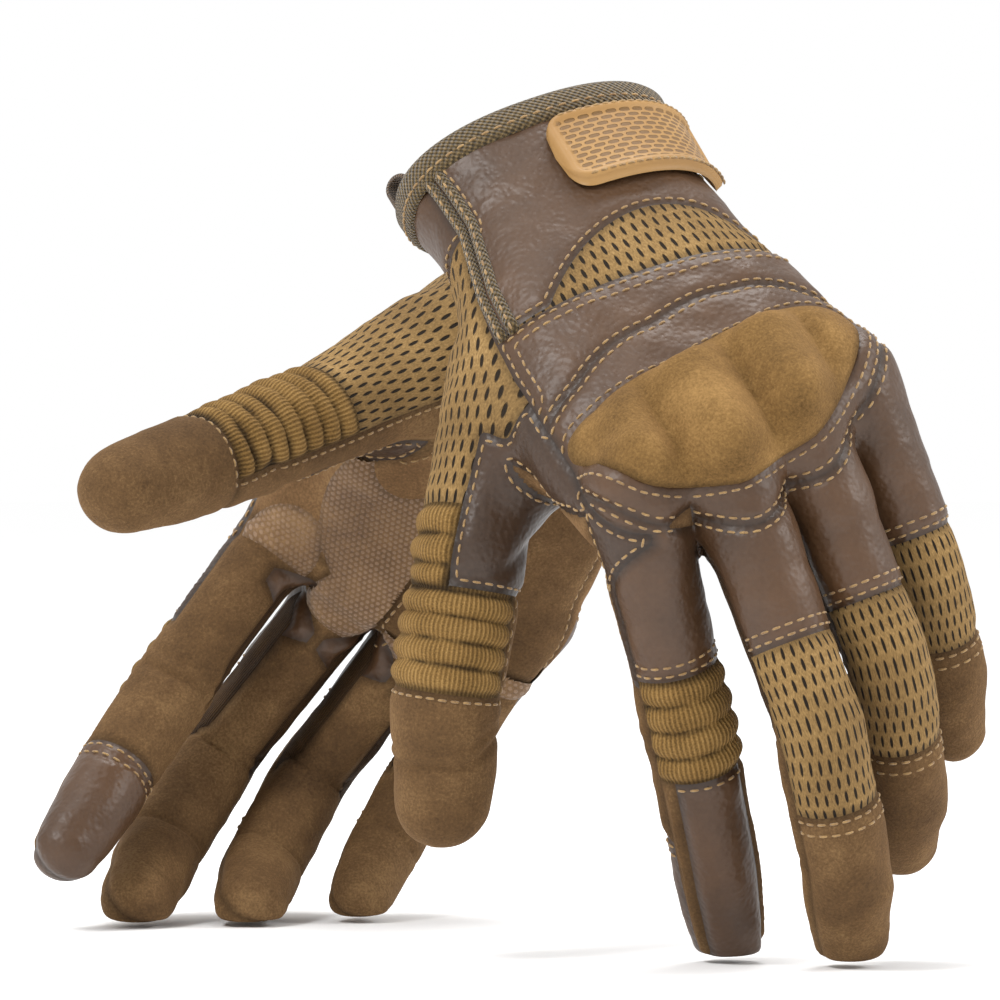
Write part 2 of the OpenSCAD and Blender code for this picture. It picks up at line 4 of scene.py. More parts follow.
import bpy
import numpy as np
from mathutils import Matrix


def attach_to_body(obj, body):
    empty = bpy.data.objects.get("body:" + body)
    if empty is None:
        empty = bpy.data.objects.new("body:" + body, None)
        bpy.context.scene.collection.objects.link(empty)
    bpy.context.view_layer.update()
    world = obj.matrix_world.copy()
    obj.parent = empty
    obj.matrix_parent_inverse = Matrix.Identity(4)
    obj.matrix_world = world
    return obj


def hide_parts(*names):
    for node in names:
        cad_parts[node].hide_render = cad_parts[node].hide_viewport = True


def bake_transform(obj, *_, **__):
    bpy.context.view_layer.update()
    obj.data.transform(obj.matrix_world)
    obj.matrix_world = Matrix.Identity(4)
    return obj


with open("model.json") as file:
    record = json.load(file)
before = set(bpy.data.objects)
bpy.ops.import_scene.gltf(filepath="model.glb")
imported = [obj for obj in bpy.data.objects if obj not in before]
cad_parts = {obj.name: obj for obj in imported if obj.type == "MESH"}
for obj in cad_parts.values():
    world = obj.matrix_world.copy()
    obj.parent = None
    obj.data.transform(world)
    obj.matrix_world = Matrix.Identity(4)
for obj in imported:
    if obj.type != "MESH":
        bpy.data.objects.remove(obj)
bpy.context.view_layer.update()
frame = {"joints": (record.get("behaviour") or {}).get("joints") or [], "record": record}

import openvdb
from mathutils import Vector, kdtree

# Shapes are worked out in one hand frame for both gloves, in millimetres: +X thumb side,
# +Y fingertips, +Z back of the hand. The right glove is its mirror image.
SIDES = ("left", "right")
FINGERS = ("index", "middle", "ring", "little")
VOXEL = 1.0
KNUCKLES = np.array([(25, 92, 1), (3, 95, 3), (-18.5, 90, 1.5), (-38, 80, -2)], float)
CUFF = -24.0
BACK_FROM = 34.0
MID = (31.1, 33.0, 31.4, 25.1)
TIP = (24.4, 26.0, 24.7, 19.7)
THICK = (1.0, 1.02, 0.97, 0.88)
MIDDLE_BEND = ((7, 29, 34, 23), (16, 47, 56, 45))
THUMB_ROOT = np.array((24, 25.65, -8.0))
THUMB_POSE = ((42, 20, 13, 19, 16), (42, 50, -77, 5, 2))
THUMB_LENGTH = (46, 38, 24)
# Which way the knit side of the thumb faces in the room, where the roll alone would not tell.
THUMB_BACK_WAY = (None, (-0.15, -0.45, 0.88))
AT_Y = (-34, -24, -12, 0, 20.9, 45.6, 70.3, 95)
HALF_W = (34.5, 34, 32.5, 32, 36, 40.5, 43, 43.5)
BACK_D = (20.2, 20, 19.5, 19, 18.5, 17.5, 16.4, 15)
PALM_D = (19.7, 19.5, 19, 18.5, 20, 20, 17, 14.5)
MID_X = (0, 0, 0, 0, 1, -1, -4, -6)
EDGE_X = (-46, -38, -18.5, 3, 25, 38)
EDGE_Y = (76, 80, 90, 95, 92, 86)
SQUARE = 2.3


def unit(v):
    v = np.asarray(v, float)
    return v / np.linalg.norm(v)


def smooth(t):
    t = np.clip(t, 0, 1)
    return t * t * (3 - 2 * t)


def smin(a, b, k):
    h = np.clip(0.5 + 0.5 * (b - a) / k, 0, 1)
    return b + (a - b) * h - k * h * (1 - h)


def turn_x(a):
    c, s = math.cos(math.radians(a)), math.sin(math.radians(a))
    return np.array([[1, 0, 0], [0, c, -s], [0, s, c]])


def turn_y(a):
    c, s = math.cos(math.radians(a)), math.sin(math.radians(a))
    return np.array([[c, 0, s], [0, 1, 0], [-s, 0, c]])


def turn_z(a):
    c, s = math.cos(math.radians(a)), math.sin(math.radians(a))
    return np.array([[c, -s, 0], [s, c, 0], [0, 0, 1]])


class Hand:
    """One glove's hand frame, found from the joints and the cuff mount of the record."""

    def __init__(self, g):
        self.g, self.side, self.sign = g, SIDES[g], 1 if g == 0 else -1
        joints = {j["name"]: j for j in frame["joints"]}
        mounts = {m["name"]: m for m in frame["record"]["mounts"]}
        flip = np.diag([self.sign, 1, 1])
        local = np.vstack([KNUCKLES, [(0, CUFF, 1)]]) @ flip
        world = np.array([joints[f"{self.side}_{f}_knuckle"]["pos_m"] for f in FINGERS]
                         + [mounts[f"{self.side}_cuff_opening"]["pos_m"]]) * 1000
        a, b = local - local.mean(0), world - world.mean(0)
        u, _, vt = np.linalg.svd(a.T @ b)
        turn = vt.T @ np.diag([1, 1, np.linalg.det(vt.T @ u.T)]) @ u.T
        self.matrix = turn @ flip
        self.shift = world.mean(0) - turn @ local.mean(0)
        error = np.abs(self.to_world(np.vstack([KNUCKLES, [(0, CUFF, 1)]])) * 1000 - world).max()
        if error > 0.2:
            raise RuntimeError(f"{self.side}: the hand frame is {error:.2f} mm off the joints")
        self.tubes = [self.finger(f, joints) for f in range(4)]
        out, down, roll, bend1, bend2 = THUMB_POSE[g]
        axes = turn_z(-out) @ turn_x(-down) @ turn_y(roll)
        self.thumb = Tube(THUMB_ROOT, axes, THUMB_LENGTH, (bend1, bend2),
                          (-6, 4, 18, 34, 46, 84, 96, 112),
                          (9, 14.5, 15.6, 13.6, 12.9, 12.6, 12, 10.2),
                          (9, 13, 14.2, 13, 12.2, 12, 11.4, 9.4), 10.5, -6)
        away = KNUCKLES[0] - THUMB_ROOT - axes[:, 1] * 30
        back = self.matrix.T @ np.array(THUMB_BACK_WAY[g]) if THUMB_BACK_WAY[g] else axes[:, 2]
        c, s = unit([back @ axes[:, 0], back @ axes[:, 2]])
        self.thumb_back = c, s
        x, z = away @ axes[:, 0], away @ axes[:, 2]
        self.web_way = unit(np.array([x * s - z * c, x * c + z * s]))

    def finger(self, f, joints):
        j = joints[f"{self.side}_{FINGERS[f]}_knuckle"]
        k = joints[f"{self.side}_{FINGERS[f]}_middle"]
        start, end = self.to_hand(np.array([j["pos_m"], k["pos_m"]]))
        y = unit(end - start)
        x = unit(self.matrix.T @ (-self.sign * np.array(j["axis"])))
        z = np.cross(x, y)
        length = np.linalg.norm(end - start)
        k = THICK[f]
        total = length + MID[f] + TIP[f]
        bend = MIDDLE_BEND[self.g][f]
        at = (-12, 0, 12, length * 0.6, length, length + 12, total - 18, total - 4, total)
        wide = np.array((9.6, 10.3, 10.5, 10.2, 10.3, 10.1, 9.9, 9.0, 8.4)) * k
        deep = np.array((9.5, 11, 11.2, 10.6, 10.8, 10.3, 9.7, 8.6, 7.9)) * k
        return Tube(start, np.column_stack([x, y, z]), (length, MID[f], TIP[f]),
                    (bend, 0.6 * bend), at, wide, deep, 8.0 * k, -12)

    def to_world(self, p):
        return (np.asarray(p) @ self.matrix.T + self.shift) / 1000

    def to_hand(self, p):
        return (np.asarray(p) * 1000 - self.shift) @ self.matrix


class Tube:
    """A round-ended tube round a centre line that bends in one plane."""

    def __init__(self, origin, axes, lengths, bends, at, wide, deep, cap, back):
        self.origin, self.axes, self.lengths, self.cap = origin, axes, lengths, cap
        self.at_s, self.wide, self.deep = at, wide, deep
        self.s = np.arange(back, sum(lengths) + 0.01, 1.0)
        angle = np.zeros(len(self.s))
        place = 0
        for bend, length in zip(bends, lengths):
            place += length
            angle += math.radians(bend) * smooth((self.s - place + 9) / 18)
        self.angle = angle
        y, z = np.cumsum(np.cos(angle)), np.cumsum(-np.sin(angle))
        self.y, self.z = y - np.interp(0, self.s, y), z - np.interp(0, self.s, z)

    def at(self, p):
        q = (p - self.origin) @ self.axes
        near = np.full(len(q), 1e9)
        s = np.zeros(len(q))
        for i in range(0, len(self.s), 3):
            d = (q[:, 1] - self.y[i]) ** 2 + (q[:, 2] - self.z[i]) ** 2
            closer = d < near
            near[closer] = d[closer]
            s[closer] = self.s[i]
        over = 0
        for _ in range(3):
            a = np.interp(s, self.s, self.angle)
            dy, dz = q[:, 1] - np.interp(s, self.s, self.y), q[:, 2] - np.interp(s, self.s, self.z)
            along = dy * np.cos(a) - dz * np.sin(a)
            new = np.clip(s + along, self.s[0], self.s[-1])
            over = s + along - new
            s = new
        a = np.interp(s, self.s, self.angle)
        dy, dz = q[:, 1] - np.interp(s, self.s, self.y), q[:, 2] - np.interp(s, self.s, self.z)
        return q[:, 0], dy * np.sin(a) + dz * np.cos(a), s, over

    def field(self, p):
        """Shares of the half width and half depth, place along the line and distance."""
        x, z, s, over = self.at(p)
        a, b = np.interp(s, self.at_s, self.wide), np.interp(s, self.at_s, self.deep)
        k = np.sqrt((x / a) ** 2 + (z / b) ** 2 + (over / self.cap) ** 2)
        r = np.sqrt(x * x + z * z + over * over)
        return x / a, z / b, s + over, r - r / np.maximum(k, 0.05)

    def point(self, s, x=0.0, z=0.0):
        a = float(np.interp(s, self.s, self.angle))
        y0, z0 = np.interp(s, self.s, self.y), np.interp(s, self.s, self.z)
        q = np.array([x, y0 + z * math.sin(a), z0 + z * math.cos(a)])
        return self.origin + self.axes @ q


def core(p):
    a, m = np.interp(p[:, 1], AT_Y, HALF_W), np.interp(p[:, 1], AT_Y, MID_X)
    b = np.where(p[:, 2] > 1, np.interp(p[:, 1], AT_Y, BACK_D), np.interp(p[:, 1], AT_Y, PALM_D))
    x, z = p[:, 0] - m, p[:, 2] - 1
    k = (np.abs(x / a) ** SQUARE + np.abs(z / b) ** SQUARE) ** (1 / SQUARE)
    r = np.hypot(x, z)
    d = r - r / np.maximum(k, 0.05)
    d = -smin(-d, -(p[:, 1] - np.interp(p[:, 0], EDGE_X, EDGE_Y) - 3), 10)
    return x / a, z / b, d


def thenar(p):
    """The pad of the palm below the thumb."""
    q = (p - (22, 40, -11)) / (17, 28, 12)
    k = np.linalg.norm(q, axis=1)
    return (k - 1) * 12


def joined(c, heel, fingers, places, thumb):
    d = smin(c, heel, 8)
    d = smin(d, np.minimum.reduce(fingers), 6)
    for i in range(3):
        free = np.clip((np.maximum(places[i], places[i + 1]) - 13) / 5, 0, 1)
        d = np.maximum(d, 0.55 - np.abs(fingers[i] - fingers[i + 1]) / 2 - (1 - free) * 6)
    return smin(d, thumb, 12)


def whole(hand, p):
    c, heel = core(p)[2], thenar(p)
    got = [t.field(p) for t in hand.tubes]
    return joined(c, heel, [g[3] for g in got], [g[2] for g in got], hand.thumb.field(p)[3])


def surface(hand):
    """The glove's outside as triangles."""
    ends = np.array([t.point(s) for t in hand.tubes + [hand.thumb] for s in t.s[::8]])
    low = np.minimum(ends.min(0), (-50, -30, -26)) - 15
    high = np.maximum(ends.max(0), (48, 100, 24)) + 15
    low[1] = -31
    size = np.ceil((high - low) / VOXEL).astype(int)
    axes = [low[i] + VOXEL * np.arange(size[i]) for i in range(3)]

    def part(points, margin, fn, count):
        a = [np.searchsorted(axes[i], points[:, i].min() - margin) for i in range(3)]
        b = [np.searchsorted(axes[i], points[:, i].max() + margin) for i in range(3)]
        grid = np.stack(np.meshgrid(*[axes[i][a[i]:b[i]] for i in range(3)], indexing="ij"), -1)
        got = fn(grid.reshape(-1, 3))
        outs = []
        for k in range(count):
            full = np.full(size, 40.0 if k == 0 else 0.0, np.float32)
            full[a[0]:b[0], a[1]:b[1], a[2]:b[2]] = got[k].reshape(grid.shape[:3])
            outs.append(full)
        return outs

    box = np.array([(-52, -40, -34), (50, 104, 30)], float)
    c = part(box, 6, lambda p: (core(p)[2],), 1)[0]
    heel = part(np.array([(22, 40, -11.0)]), 36, lambda p: (thenar(p),), 1)[0]
    fingers, places = [], []
    for t in hand.tubes + [hand.thumb]:
        line = np.array([t.point(s) for s in t.s[::4]])
        d, s = part(line, 24, lambda p: t.field(p)[3:1:-1], 2)
        fingers.append(d)
        places.append(s)
    d = joined(c, heel, fingers[:4], places[:4], fingers[4])
    volume = openvdb.FloatGrid(background=40.0)
    volume.copyFromArray(np.ascontiguousarray(np.clip(d, -40, 40), np.float32))
    points, _, quads = volume.convertToPolygons(isovalue=0.0, adaptivity=0.0)
    p = points.astype(float) * VOXEL + low
    q = quads.astype(np.int64)
    faces = np.vstack([q[:, [0, 1, 2]], q[:, [0, 2, 3]]])
    for _ in range(2):
        here = whole(hand, p)
        slope = np.stack([whole(hand, p + 0.2 * e) - here for e in np.eye(3)], 1) / 0.2
        p = p - slope * (here / np.maximum((slope ** 2).sum(1), 0.2))[:, None] * 0.9
    return p, faces


# Columns of the table of values that each vertex carries.
XI, ZETA, CORE = 3, 4, 5
FX, FZ, FS, FD = 6, 10, 14, 18
TX, TZ, TS, TD = 22, 23, 24, 25
GUARD = 26


def guard_place(p):
    """Place over the knuckles: across the hand, and the angle over the knuckle row."""
    y = np.interp(p[:, 0], EDGE_X, EDGE_Y) - 17
    return p[:, 0], np.arctan2(p[:, 2] + 4, p[:, 1] - y)


GUARD_X, GUARD_A, GUARD_LONG, GUARD_WIDE = -4.0, math.radians(82), 38.0, math.radians(42)
GUARD_POWER = 2.5


def guard_distance(x, a):
    u, v = (x - GUARD_X) / GUARD_LONG, (a - GUARD_A) / GUARD_WIDE
    r = (np.abs(u) ** GUARD_POWER + np.abs(v) ** GUARD_POWER) ** (1 / GUARD_POWER) + 1e-6
    slope = np.hypot(np.abs(u / r) ** (GUARD_POWER - 1) / GUARD_LONG,
                     np.abs(v / r) ** (GUARD_POWER - 1) / GUARD_WIDE / 24)
    return (r - 1) / np.maximum(slope, 0.012)


def values(hand, p):
    t = np.zeros((len(p), 27))
    t[:, :3] = p
    t[:, XI], t[:, ZETA], t[:, CORE] = core(p)
    for f, tube in enumerate(hand.tubes):
        t[:, FX + f], t[:, FZ + f], t[:, FS + f], t[:, FD + f] = tube.field(p)
    x, z, t[:, TS], t[:, TD] = hand.thumb.field(p)
    c, s = hand.thumb_back
    t[:, TX], t[:, TZ] = x * s - z * c, x * c + z * s
    t[:, GUARD] = guard_distance(*guard_place(p))
    t[p[:, 2] < 2, GUARD] = 60
    return t


def cut(t, faces, tags, phi, where):
    """Cuts the chosen triangles along phi = 0. Each triangle keeps its tag."""
    phi = np.where(np.abs(phi) < 0.04, 0.0, phi)
    s = np.sign(phi)[faces]
    crossing = where & (s.min(1) < 0) & (s.max(1) > 0)
    keep, hit, hit_tags = faces[~crossing], faces[crossing], tags[crossing]
    s = s[crossing]
    if not len(hit):
        return t, faces, tags
    zero = (s == 0).any(1)
    odd = np.where(zero, np.argmax(s == 0, 1), np.argmax(s == -np.sign(s.sum(1))[:, None], 1))
    order = (odd[:, None] + np.arange(3)) % 3
    v = np.take_along_axis(hit, order, 1)
    edges = np.vstack([v[zero][:, [1, 2]], v[~zero][:, [0, 1]], v[~zero][:, [0, 2]]])
    a, b = edges.min(1), edges.max(1)
    keys, back = np.unique(a * len(t) + b, return_inverse=True)
    a, b = keys // len(t), keys % len(t)
    w = (phi[a] / (phi[a] - phi[b]))[:, None]
    new = t[a] * (1 - w) + t[b] * w
    made = len(t) + back.reshape(-1)
    n1, n2 = int(zero.sum()), int((~zero).sum())
    m, p, q = made[:n1], made[n1:n1 + n2], made[n1 + n2:]
    vz, vn = v[zero], v[~zero]
    parts = [np.column_stack([vz[:, 0], vz[:, 1], m]), np.column_stack([vz[:, 0], m, vz[:, 2]]),
             np.column_stack([vn[:, 0], p, q]), np.column_stack([p, vn[:, 1], vn[:, 2]]),
             np.column_stack([p, vn[:, 2], q])]
    tz, tn = hit_tags[zero], hit_tags[~zero]
    return (np.vstack([t, new]), np.vstack([keep] + parts),
            np.concatenate([tags[~crossing], tz, tz, tn, tn, tn]))


def mids(t, faces):
    return t[faces].mean(1)


def ray_angle(t, degrees, scale):
    a = math.radians(degrees)
    return scale * (t[:, ZETA] * math.cos(a) - t[:, XI] * math.sin(a))


def crescent(t):
    """Lower edge of the cuff leather, by angle round the hand."""
    angle = np.degrees(np.arctan2(t[:, ZETA], t[:, XI]))
    return BACK_FROM - np.maximum(0.6, 18 * (1 - ((angle - 111) / 54) ** 2))


def smooth_at(t, f):
    return smooth((t[:, FS + f] + 3) / 15)


def dorsal(t, f):
    """Positive on the back of the hand and of finger f, in millimetres."""
    w = smooth_at(t, f)
    inner = np.ones(len(t))
    if f == 0:
        inner = smooth((0.2 - t[:, FX]) / 0.3)
    if f == 3:
        inner = smooth((0.2 + t[:, FX + 3]) / 0.3)
    dip = 1.15 * inner * (1 - smooth((t[:, FS + f] - 15) / 10))
    dip = np.maximum(dip, 0.35 * (f == 3) * (1 - smooth((t[:, FS + f] - 10) / 14)))
    outer = 0.26 - 0.45 * smooth((t[:, 1] - 48) / 22)
    edge = (1 - w) * np.where(t[:, XI] > 0, 0.5, outer) + w * (0.16 - dip)
    return 12 * ((1 - w) * t[:, ZETA] + w * t[:, FZ + f] - edge)


def thumb_share(t):
    return smooth(0.5 + (t[:, CORE] - t[:, TD]) / 10)


def thumb_palm(t):
    """Positive on the back of the thumb and the thumb side of the hand."""
    w = thumb_share(t)
    hand = 30 * (0.85 * t[:, XI] + 0.53 * t[:, ZETA])
    return (1 - w) * hand + w * 13 * (t[:, TZ] + 0.15)


def web_side(t, hand):
    """Positive on the patch between thumb and index finger."""
    w = thumb_share(t)
    n = np.hypot(t[:, TX], t[:, TZ]) + 1e-6
    face = 13 * ((t[:, TX] * hand.web_way[0] + t[:, TZ] * hand.web_way[1]) / n - 0.4)
    return (1 - w) * (t[:, 1] - 53) + w * np.minimum(face, 58 - t[:, TS])


def fourchette(t, f):
    """Positive on the strips between two fingers."""
    toward = np.zeros(len(t))
    if f < 3:
        toward = np.maximum(toward, -t[:, FX + f])
    if f > 0:
        toward = np.maximum(toward, t[:, FX + f])
    s = t[:, FS + f]
    size = 0.46 * smooth((s - 6) / 9) * (1 - smooth((s - FOURCHETTE_END[f]) / 14)) - 0.01
    return np.where(toward > 0.4, 9 * (size - np.abs(t[:, FZ + f] + 0.26)), -5)


# Where each finger's leather sleeve ends, where its knit back ends, and its fourchettes.
SLEEVE_END = (34.0, 35.0, 34.0, 30.0)
KNIT_END = (59.0, 73.0, 69.0, 56.0)
FOURCHETTE_END = (36.0, 46.0, 44.0, 34.0)
THUMB_RIBS = (42.0, 82.0)
# The leather collar reaches this far past the knuckle guard.
COLLAR = 7.5
# Where a finger's piece is split off from the hand along the bend's own axis, and a place further
# along that axis.
ZONE_BACK = -2.0
ZONE_AHEAD = 22.0
# Where the thumb's surface is split into its two further pieces.
THUMB_SPLIT = (34.0, 65.0)

LABELS = ["cuff", "insert", "under", "back", "collar", "ulnar", "palm", "side", "web",
          "ribs", "thumbpalm", "thumbtip", "four", "frib", "fknit", "ftop", "ftip", "fpalm",
          "pad", "guardbed"]
L = {n: i for i, n in enumerate(LABELS)}


def panels(hand, t, faces):
    """Cuts the glove's surface into its panels and gives each triangle a label and a zone."""
    tags = np.zeros(len(faces), np.int64)
    state = [t, faces, tags]

    def chop(fn, pick):
        t, faces, tags = state
        state[:] = cut(t, faces, tags, fn(t), pick(mids(t, faces)))

    everywhere = lambda m: np.ones(len(m), bool)
    chop(lambda t: t[:, 1] - CUFF, everywhere)
    t, faces, tags = state
    m = mids(t, faces)
    state[:] = [t, faces[m[:, 1] > CUFF], tags[m[:, 1] > CUFF]]
    for i in range(3):
        chop(lambda t: t[:, FD + i] - t[:, FD + i + 1],
             lambda m: (m[:, 1] > 55) & (np.abs(m[:, FD + i] - m[:, FD + i + 1]) < 6)
             & (m[:, TD] > 2))
    t, faces, tags = state
    m = mids(t, faces)
    state[2] = np.argmin(m[:, FD:FD + 4], 1)
    on_thumb = lambda m: (m[:, TD] < m[:, CORE]) & (m[:, TD] < m[:, FD:FD + 4].min(1))
    for f in range(4):
        mine = lambda m, f=f: (np.take(state[2], np.arange(len(m))) == f) & ~on_thumb(m)
        tube = hand.tubes[f]
        axis = bend_axis(hand, f)
        chop(lambda t: (t[:, :3] - tube.origin) @ axis - ZONE_BACK,
             lambda m: mine(m) & (m[:, 1] > 60))
        chop(lambda t: t[:, FS + f] - tube.lengths[0] * 0.5, mine)
        chop(lambda t: dorsal(t, f), mine)
        chop(lambda t: fourchette(t, f), lambda m: mine(m) & (m[:, FS + f] > 3))
        chop(lambda t: t[:, FS + f] - SLEEVE_END[f], mine)
        chop(lambda t: t[:, FS + f] - KNIT_END[f], mine)
        if f == 0:
            chop(lambda t: SLEEVE_END[0] + 2 - t[:, FS],
                 lambda m: mine(m) & (m[:, FX] > 0))
            chop(lambda t: 9 * (t[:, FZ] + 0.22), lambda m: mine(m) & (m[:, FX] > 0)
                 & (m[:, FS] < SLEEVE_END[0] + 4) & (m[:, FS] > -14))
            chop(lambda t: 11 * (0.80 - np.abs(t[:, FX])),
                 lambda m: mine(m) & (m[:, FS] > KNIT_END[0] - 6))
    chop(lambda t: t[:, GUARD] + 2.5, lambda m: m[:, GUARD] < 10)
    chop(lambda t: t[:, GUARD] - COLLAR, lambda m: (m[:, GUARD] < 16) & (m[:, ZETA] > 0.3))
    plain = lambda m: ~on_thumb(m)
    chop(lambda t: t[:, 1] - BACK_FROM, lambda m: (m[:, ZETA] > 0.1) & plain(m))
    chop(lambda t: t[:, 1] - crescent(t),
         lambda m: (m[:, ZETA] > 0.15) & plain(m) & (m[:, 1] < BACK_FROM))
    chop(lambda t: ray_angle(t, 30, 34), lambda m: (m[:, XI] > 0) & (m[:, 1] < 60) & plain(m))
    chop(lambda t: ray_angle(t, 165, -30), lambda m: (m[:, XI] < 0) & (m[:, 1] < 92))
    chop(lambda t: ray_angle(t, 202, -30), lambda m: (m[:, XI] < 0) & plain(m))
    chop(lambda t: t[:, FS] - hand.tubes[0].lengths[0] - MID[0] + 5,
         lambda m: (m[:, FS] > 60) & (m[:, FD] < 3) & plain(m))
    chop(lambda t: t[:, 1], lambda m: plain(m) | (m[:, TS] < 0))
    chop(thumb_palm, lambda m: (m[:, 1] > -4) & ((m[:, FS] < -6) | on_thumb(m)))
    chop(lambda t: 28 * (t[:, ZETA] + 0.3),
         lambda m: (m[:, XI] > 0.5) & (m[:, 1] > 50) & plain(m) & (m[:, FS] < 4))
    chop(lambda t: web_side(t, hand), lambda m: on_thumb(m) | ((m[:, XI] > 0) & (m[:, 1] < 80)))
    chop(lambda t: t[:, TS] - THUMB_RIBS[0], on_thumb)
    chop(lambda t: t[:, TS] - THUMB_RIBS[1], on_thumb)
    chop(lambda t: t[:, TS] - THUMB_SPLIT[0], on_thumb)
    chop(lambda t: t[:, TS] - THUMB_SPLIT[1], on_thumb)

    t, faces, own = state
    m = mids(t, faces)
    n = len(m)
    label = np.full(n, L["palm"])
    thumb = on_thumb(m)
    row = np.arange(n)
    s, z, x = m[row, FS + own], m[row, FZ + own], m[row, FX + own]
    back = np.zeros(n, bool)
    strip = np.zeros(n, bool)
    for f in range(4):
        pick = own == f
        back[pick] = dorsal(m[pick], f) > 0
        strip[pick] = fourchette(m[pick], f) > 0
    back &= ~thumb
    side_way = thumb_palm(m) > 0
    web = web_side(m, hand) > 0
    label[(m[:, XI] < 0) & (ray_angle(m, 202, -30) < 0) & (s < 8)] = L["ulnar"]
    reach = (side_way & (m[:, XI] > 0) & (s < -6)) & ~thumb
    label[reach & ~(web & (m[:, ZETA] <= -0.3))] = L["side"]
    label[reach & web & (m[:, ZETA] > -0.3)] = L["web"]
    index_side = (own == 0) & (x > 0) & (s < SLEEVE_END[0] + 2) & ~thumb & (z > -0.22)
    label[index_side & (m[:, 1] > 53) & (side_way | (s > -6))] = L["web"]
    label[back & (s < per_finger(SLEEVE_END, own))] = L["back"]
    fin = (s > 3) & ~thumb
    sleeve_end, knit_end = per_finger(SLEEVE_END, own), per_finger(KNIT_END, own)
    label[fin & back & (s >= sleeve_end) & (s < knit_end)] = L["fknit"]
    label[fin & back & (own == 0) & (s >= SLEEVE_END[0]) & (s < KNIT_END[0])] = L["frib"]
    label[fin & back & (s >= knit_end)] = L["ftip"]
    label[fin & back & (own == 0) & (np.abs(x) < 0.8) & (s >= KNIT_END[0])] = L["ftop"]
    label[fin & ~back & (label != L["web"])] = L["fpalm"]
    pad_from = hand.tubes[0].lengths[0] + MID[0] - 5
    label[fin & ~back & (own == 0) & (s > pad_from)] = L["pad"]
    label[strip & fin] = L["four"]
    low = (m[:, 1] < 0) & ~thumb
    label[low] = L["under"]
    top = (ray_angle(m, 30, 34) > 0) & (ray_angle(m, 165, -30) > 0) & (m[:, ZETA] > 0)
    label[top & (m[:, 1] < BACK_FROM) & (m[:, 1] < crescent(m)) & ~thumb] = L["cuff"]
    label[top & (m[:, 1] < BACK_FROM) & (m[:, 1] >= crescent(m)) & ~thumb] = L["insert"]
    label[(label == L["back"]) & (m[:, GUARD] < COLLAR)] = L["collar"]
    label[(label == L["collar"]) & (m[:, GUARD] < -2.5)] = L["guardbed"]
    knit = thumb & side_way
    label[thumb & ~side_way] = L["thumbpalm"]
    label[knit] = L["side"]
    label[knit & (m[:, TS] > THUMB_RIBS[0])] = L["ribs"]
    label[thumb & web] = L["web"]
    label[thumb & (m[:, TS] > THUMB_RIBS[1])] = L["thumbtip"]

    zone = np.zeros(n, np.int64)
    for f in range(4):
        axis = bend_axis(hand, f)
        ahead = (m[:, :3] - hand.tubes[f].origin) @ axis > ZONE_BACK
        pick = (own == f) & ~thumb & ahead & (m[:, 1] > 55)
        zone[pick] = 1 + 2 * f
        zone[pick & (s > hand.tubes[f].lengths[0] * 0.5)] = 2 + 2 * f
    zone[thumb & (m[:, TS] > THUMB_SPLIT[0])] = 9
    zone[thumb & (m[:, TS] > THUMB_SPLIT[1])] = 10
    return t, faces, own, label, zone


def per_finger(lengths, own):
    """Each place's own finger's length."""
    return np.array(lengths)[own]


def bend_axis(hand, f):
    return unit(np.array([0, 1.0, 0]) + hand.tubes[f].axes[:, 1])


def normals(p, faces):
    n = np.cross(p[faces[:, 1]] - p[faces[:, 0]], p[faces[:, 2]] - p[faces[:, 0]])
    out = np.zeros_like(p)
    for k in range(3):
        np.add.at(out, faces[:, k], n)
    return out / np.maximum(np.linalg.norm(out, axis=1), 1e-9)[:, None]


def distances(points, targets, far=14.0):
    if not len(targets):
        return np.full(len(points), far)
    tree = kdtree.KDTree(len(targets))
    for i, q in enumerate(targets):
        tree.insert(q, i)
    tree.balance()
    return np.minimum([tree.find(q)[2] for q in points], far)


def seam_vertices(faces, label, pairs=None):
    """Vertices on the borders between labels."""
    e = np.vstack([faces[:, [0, 1]], faces[:, [1, 2]], faces[:, [2, 0]]])
    lab = np.concatenate([label] * 3)
    key = e.min(1) * (faces.max() + 1) + e.max(1)
    order = np.argsort(key, kind="stable")
    key, lab, e = key[order], lab[order], e[order]
    same = np.nonzero(key[1:] == key[:-1])[0]
    a, b = lab[same], lab[same + 1]
    differ = a != b
    if pairs is not None:
        ok = np.zeros(len(a), bool)
        for u, v in pairs:
            ok |= ((a == u) & (b == v)) | ((a == v) & (b == u))
        differ &= ok
    return np.unique(e[same[differ]])


PUFF = {"cuff": 0.5, "insert": 0.1, "under": 0.4, "back": 0.75, "collar": 0.9, "ulnar": 0.4,
        "palm": 0.4, "side": 0.25, "web": 0.7, "ribs": 0.2, "thumbpalm": 0.5, "thumbtip": 0.6,
        "four": -0.5, "frib": 0.2, "fknit": 0.25, "ftop": 0.6, "ftip": 0.6, "fpalm": 0.6,
        "pad": 0.5, "guardbed": 0.0}


def waves(p, seed, size):
    rng = np.random.default_rng(seed)
    out = np.zeros(len(p))
    for _ in range(9):
        way = unit(rng.normal(size=3)) * (2 * math.pi / (size * rng.uniform(0.7, 1.6)))
        out += np.sin(p @ way + rng.uniform(0, 6.28) + 1.3 * np.sin(p @ way[[1, 2, 0]] * 0.8))
    return out / 4


def rib(s, start, pitch):
    u = (s - start) / pitch
    return np.abs(np.sin(math.pi * u)) ** 0.75


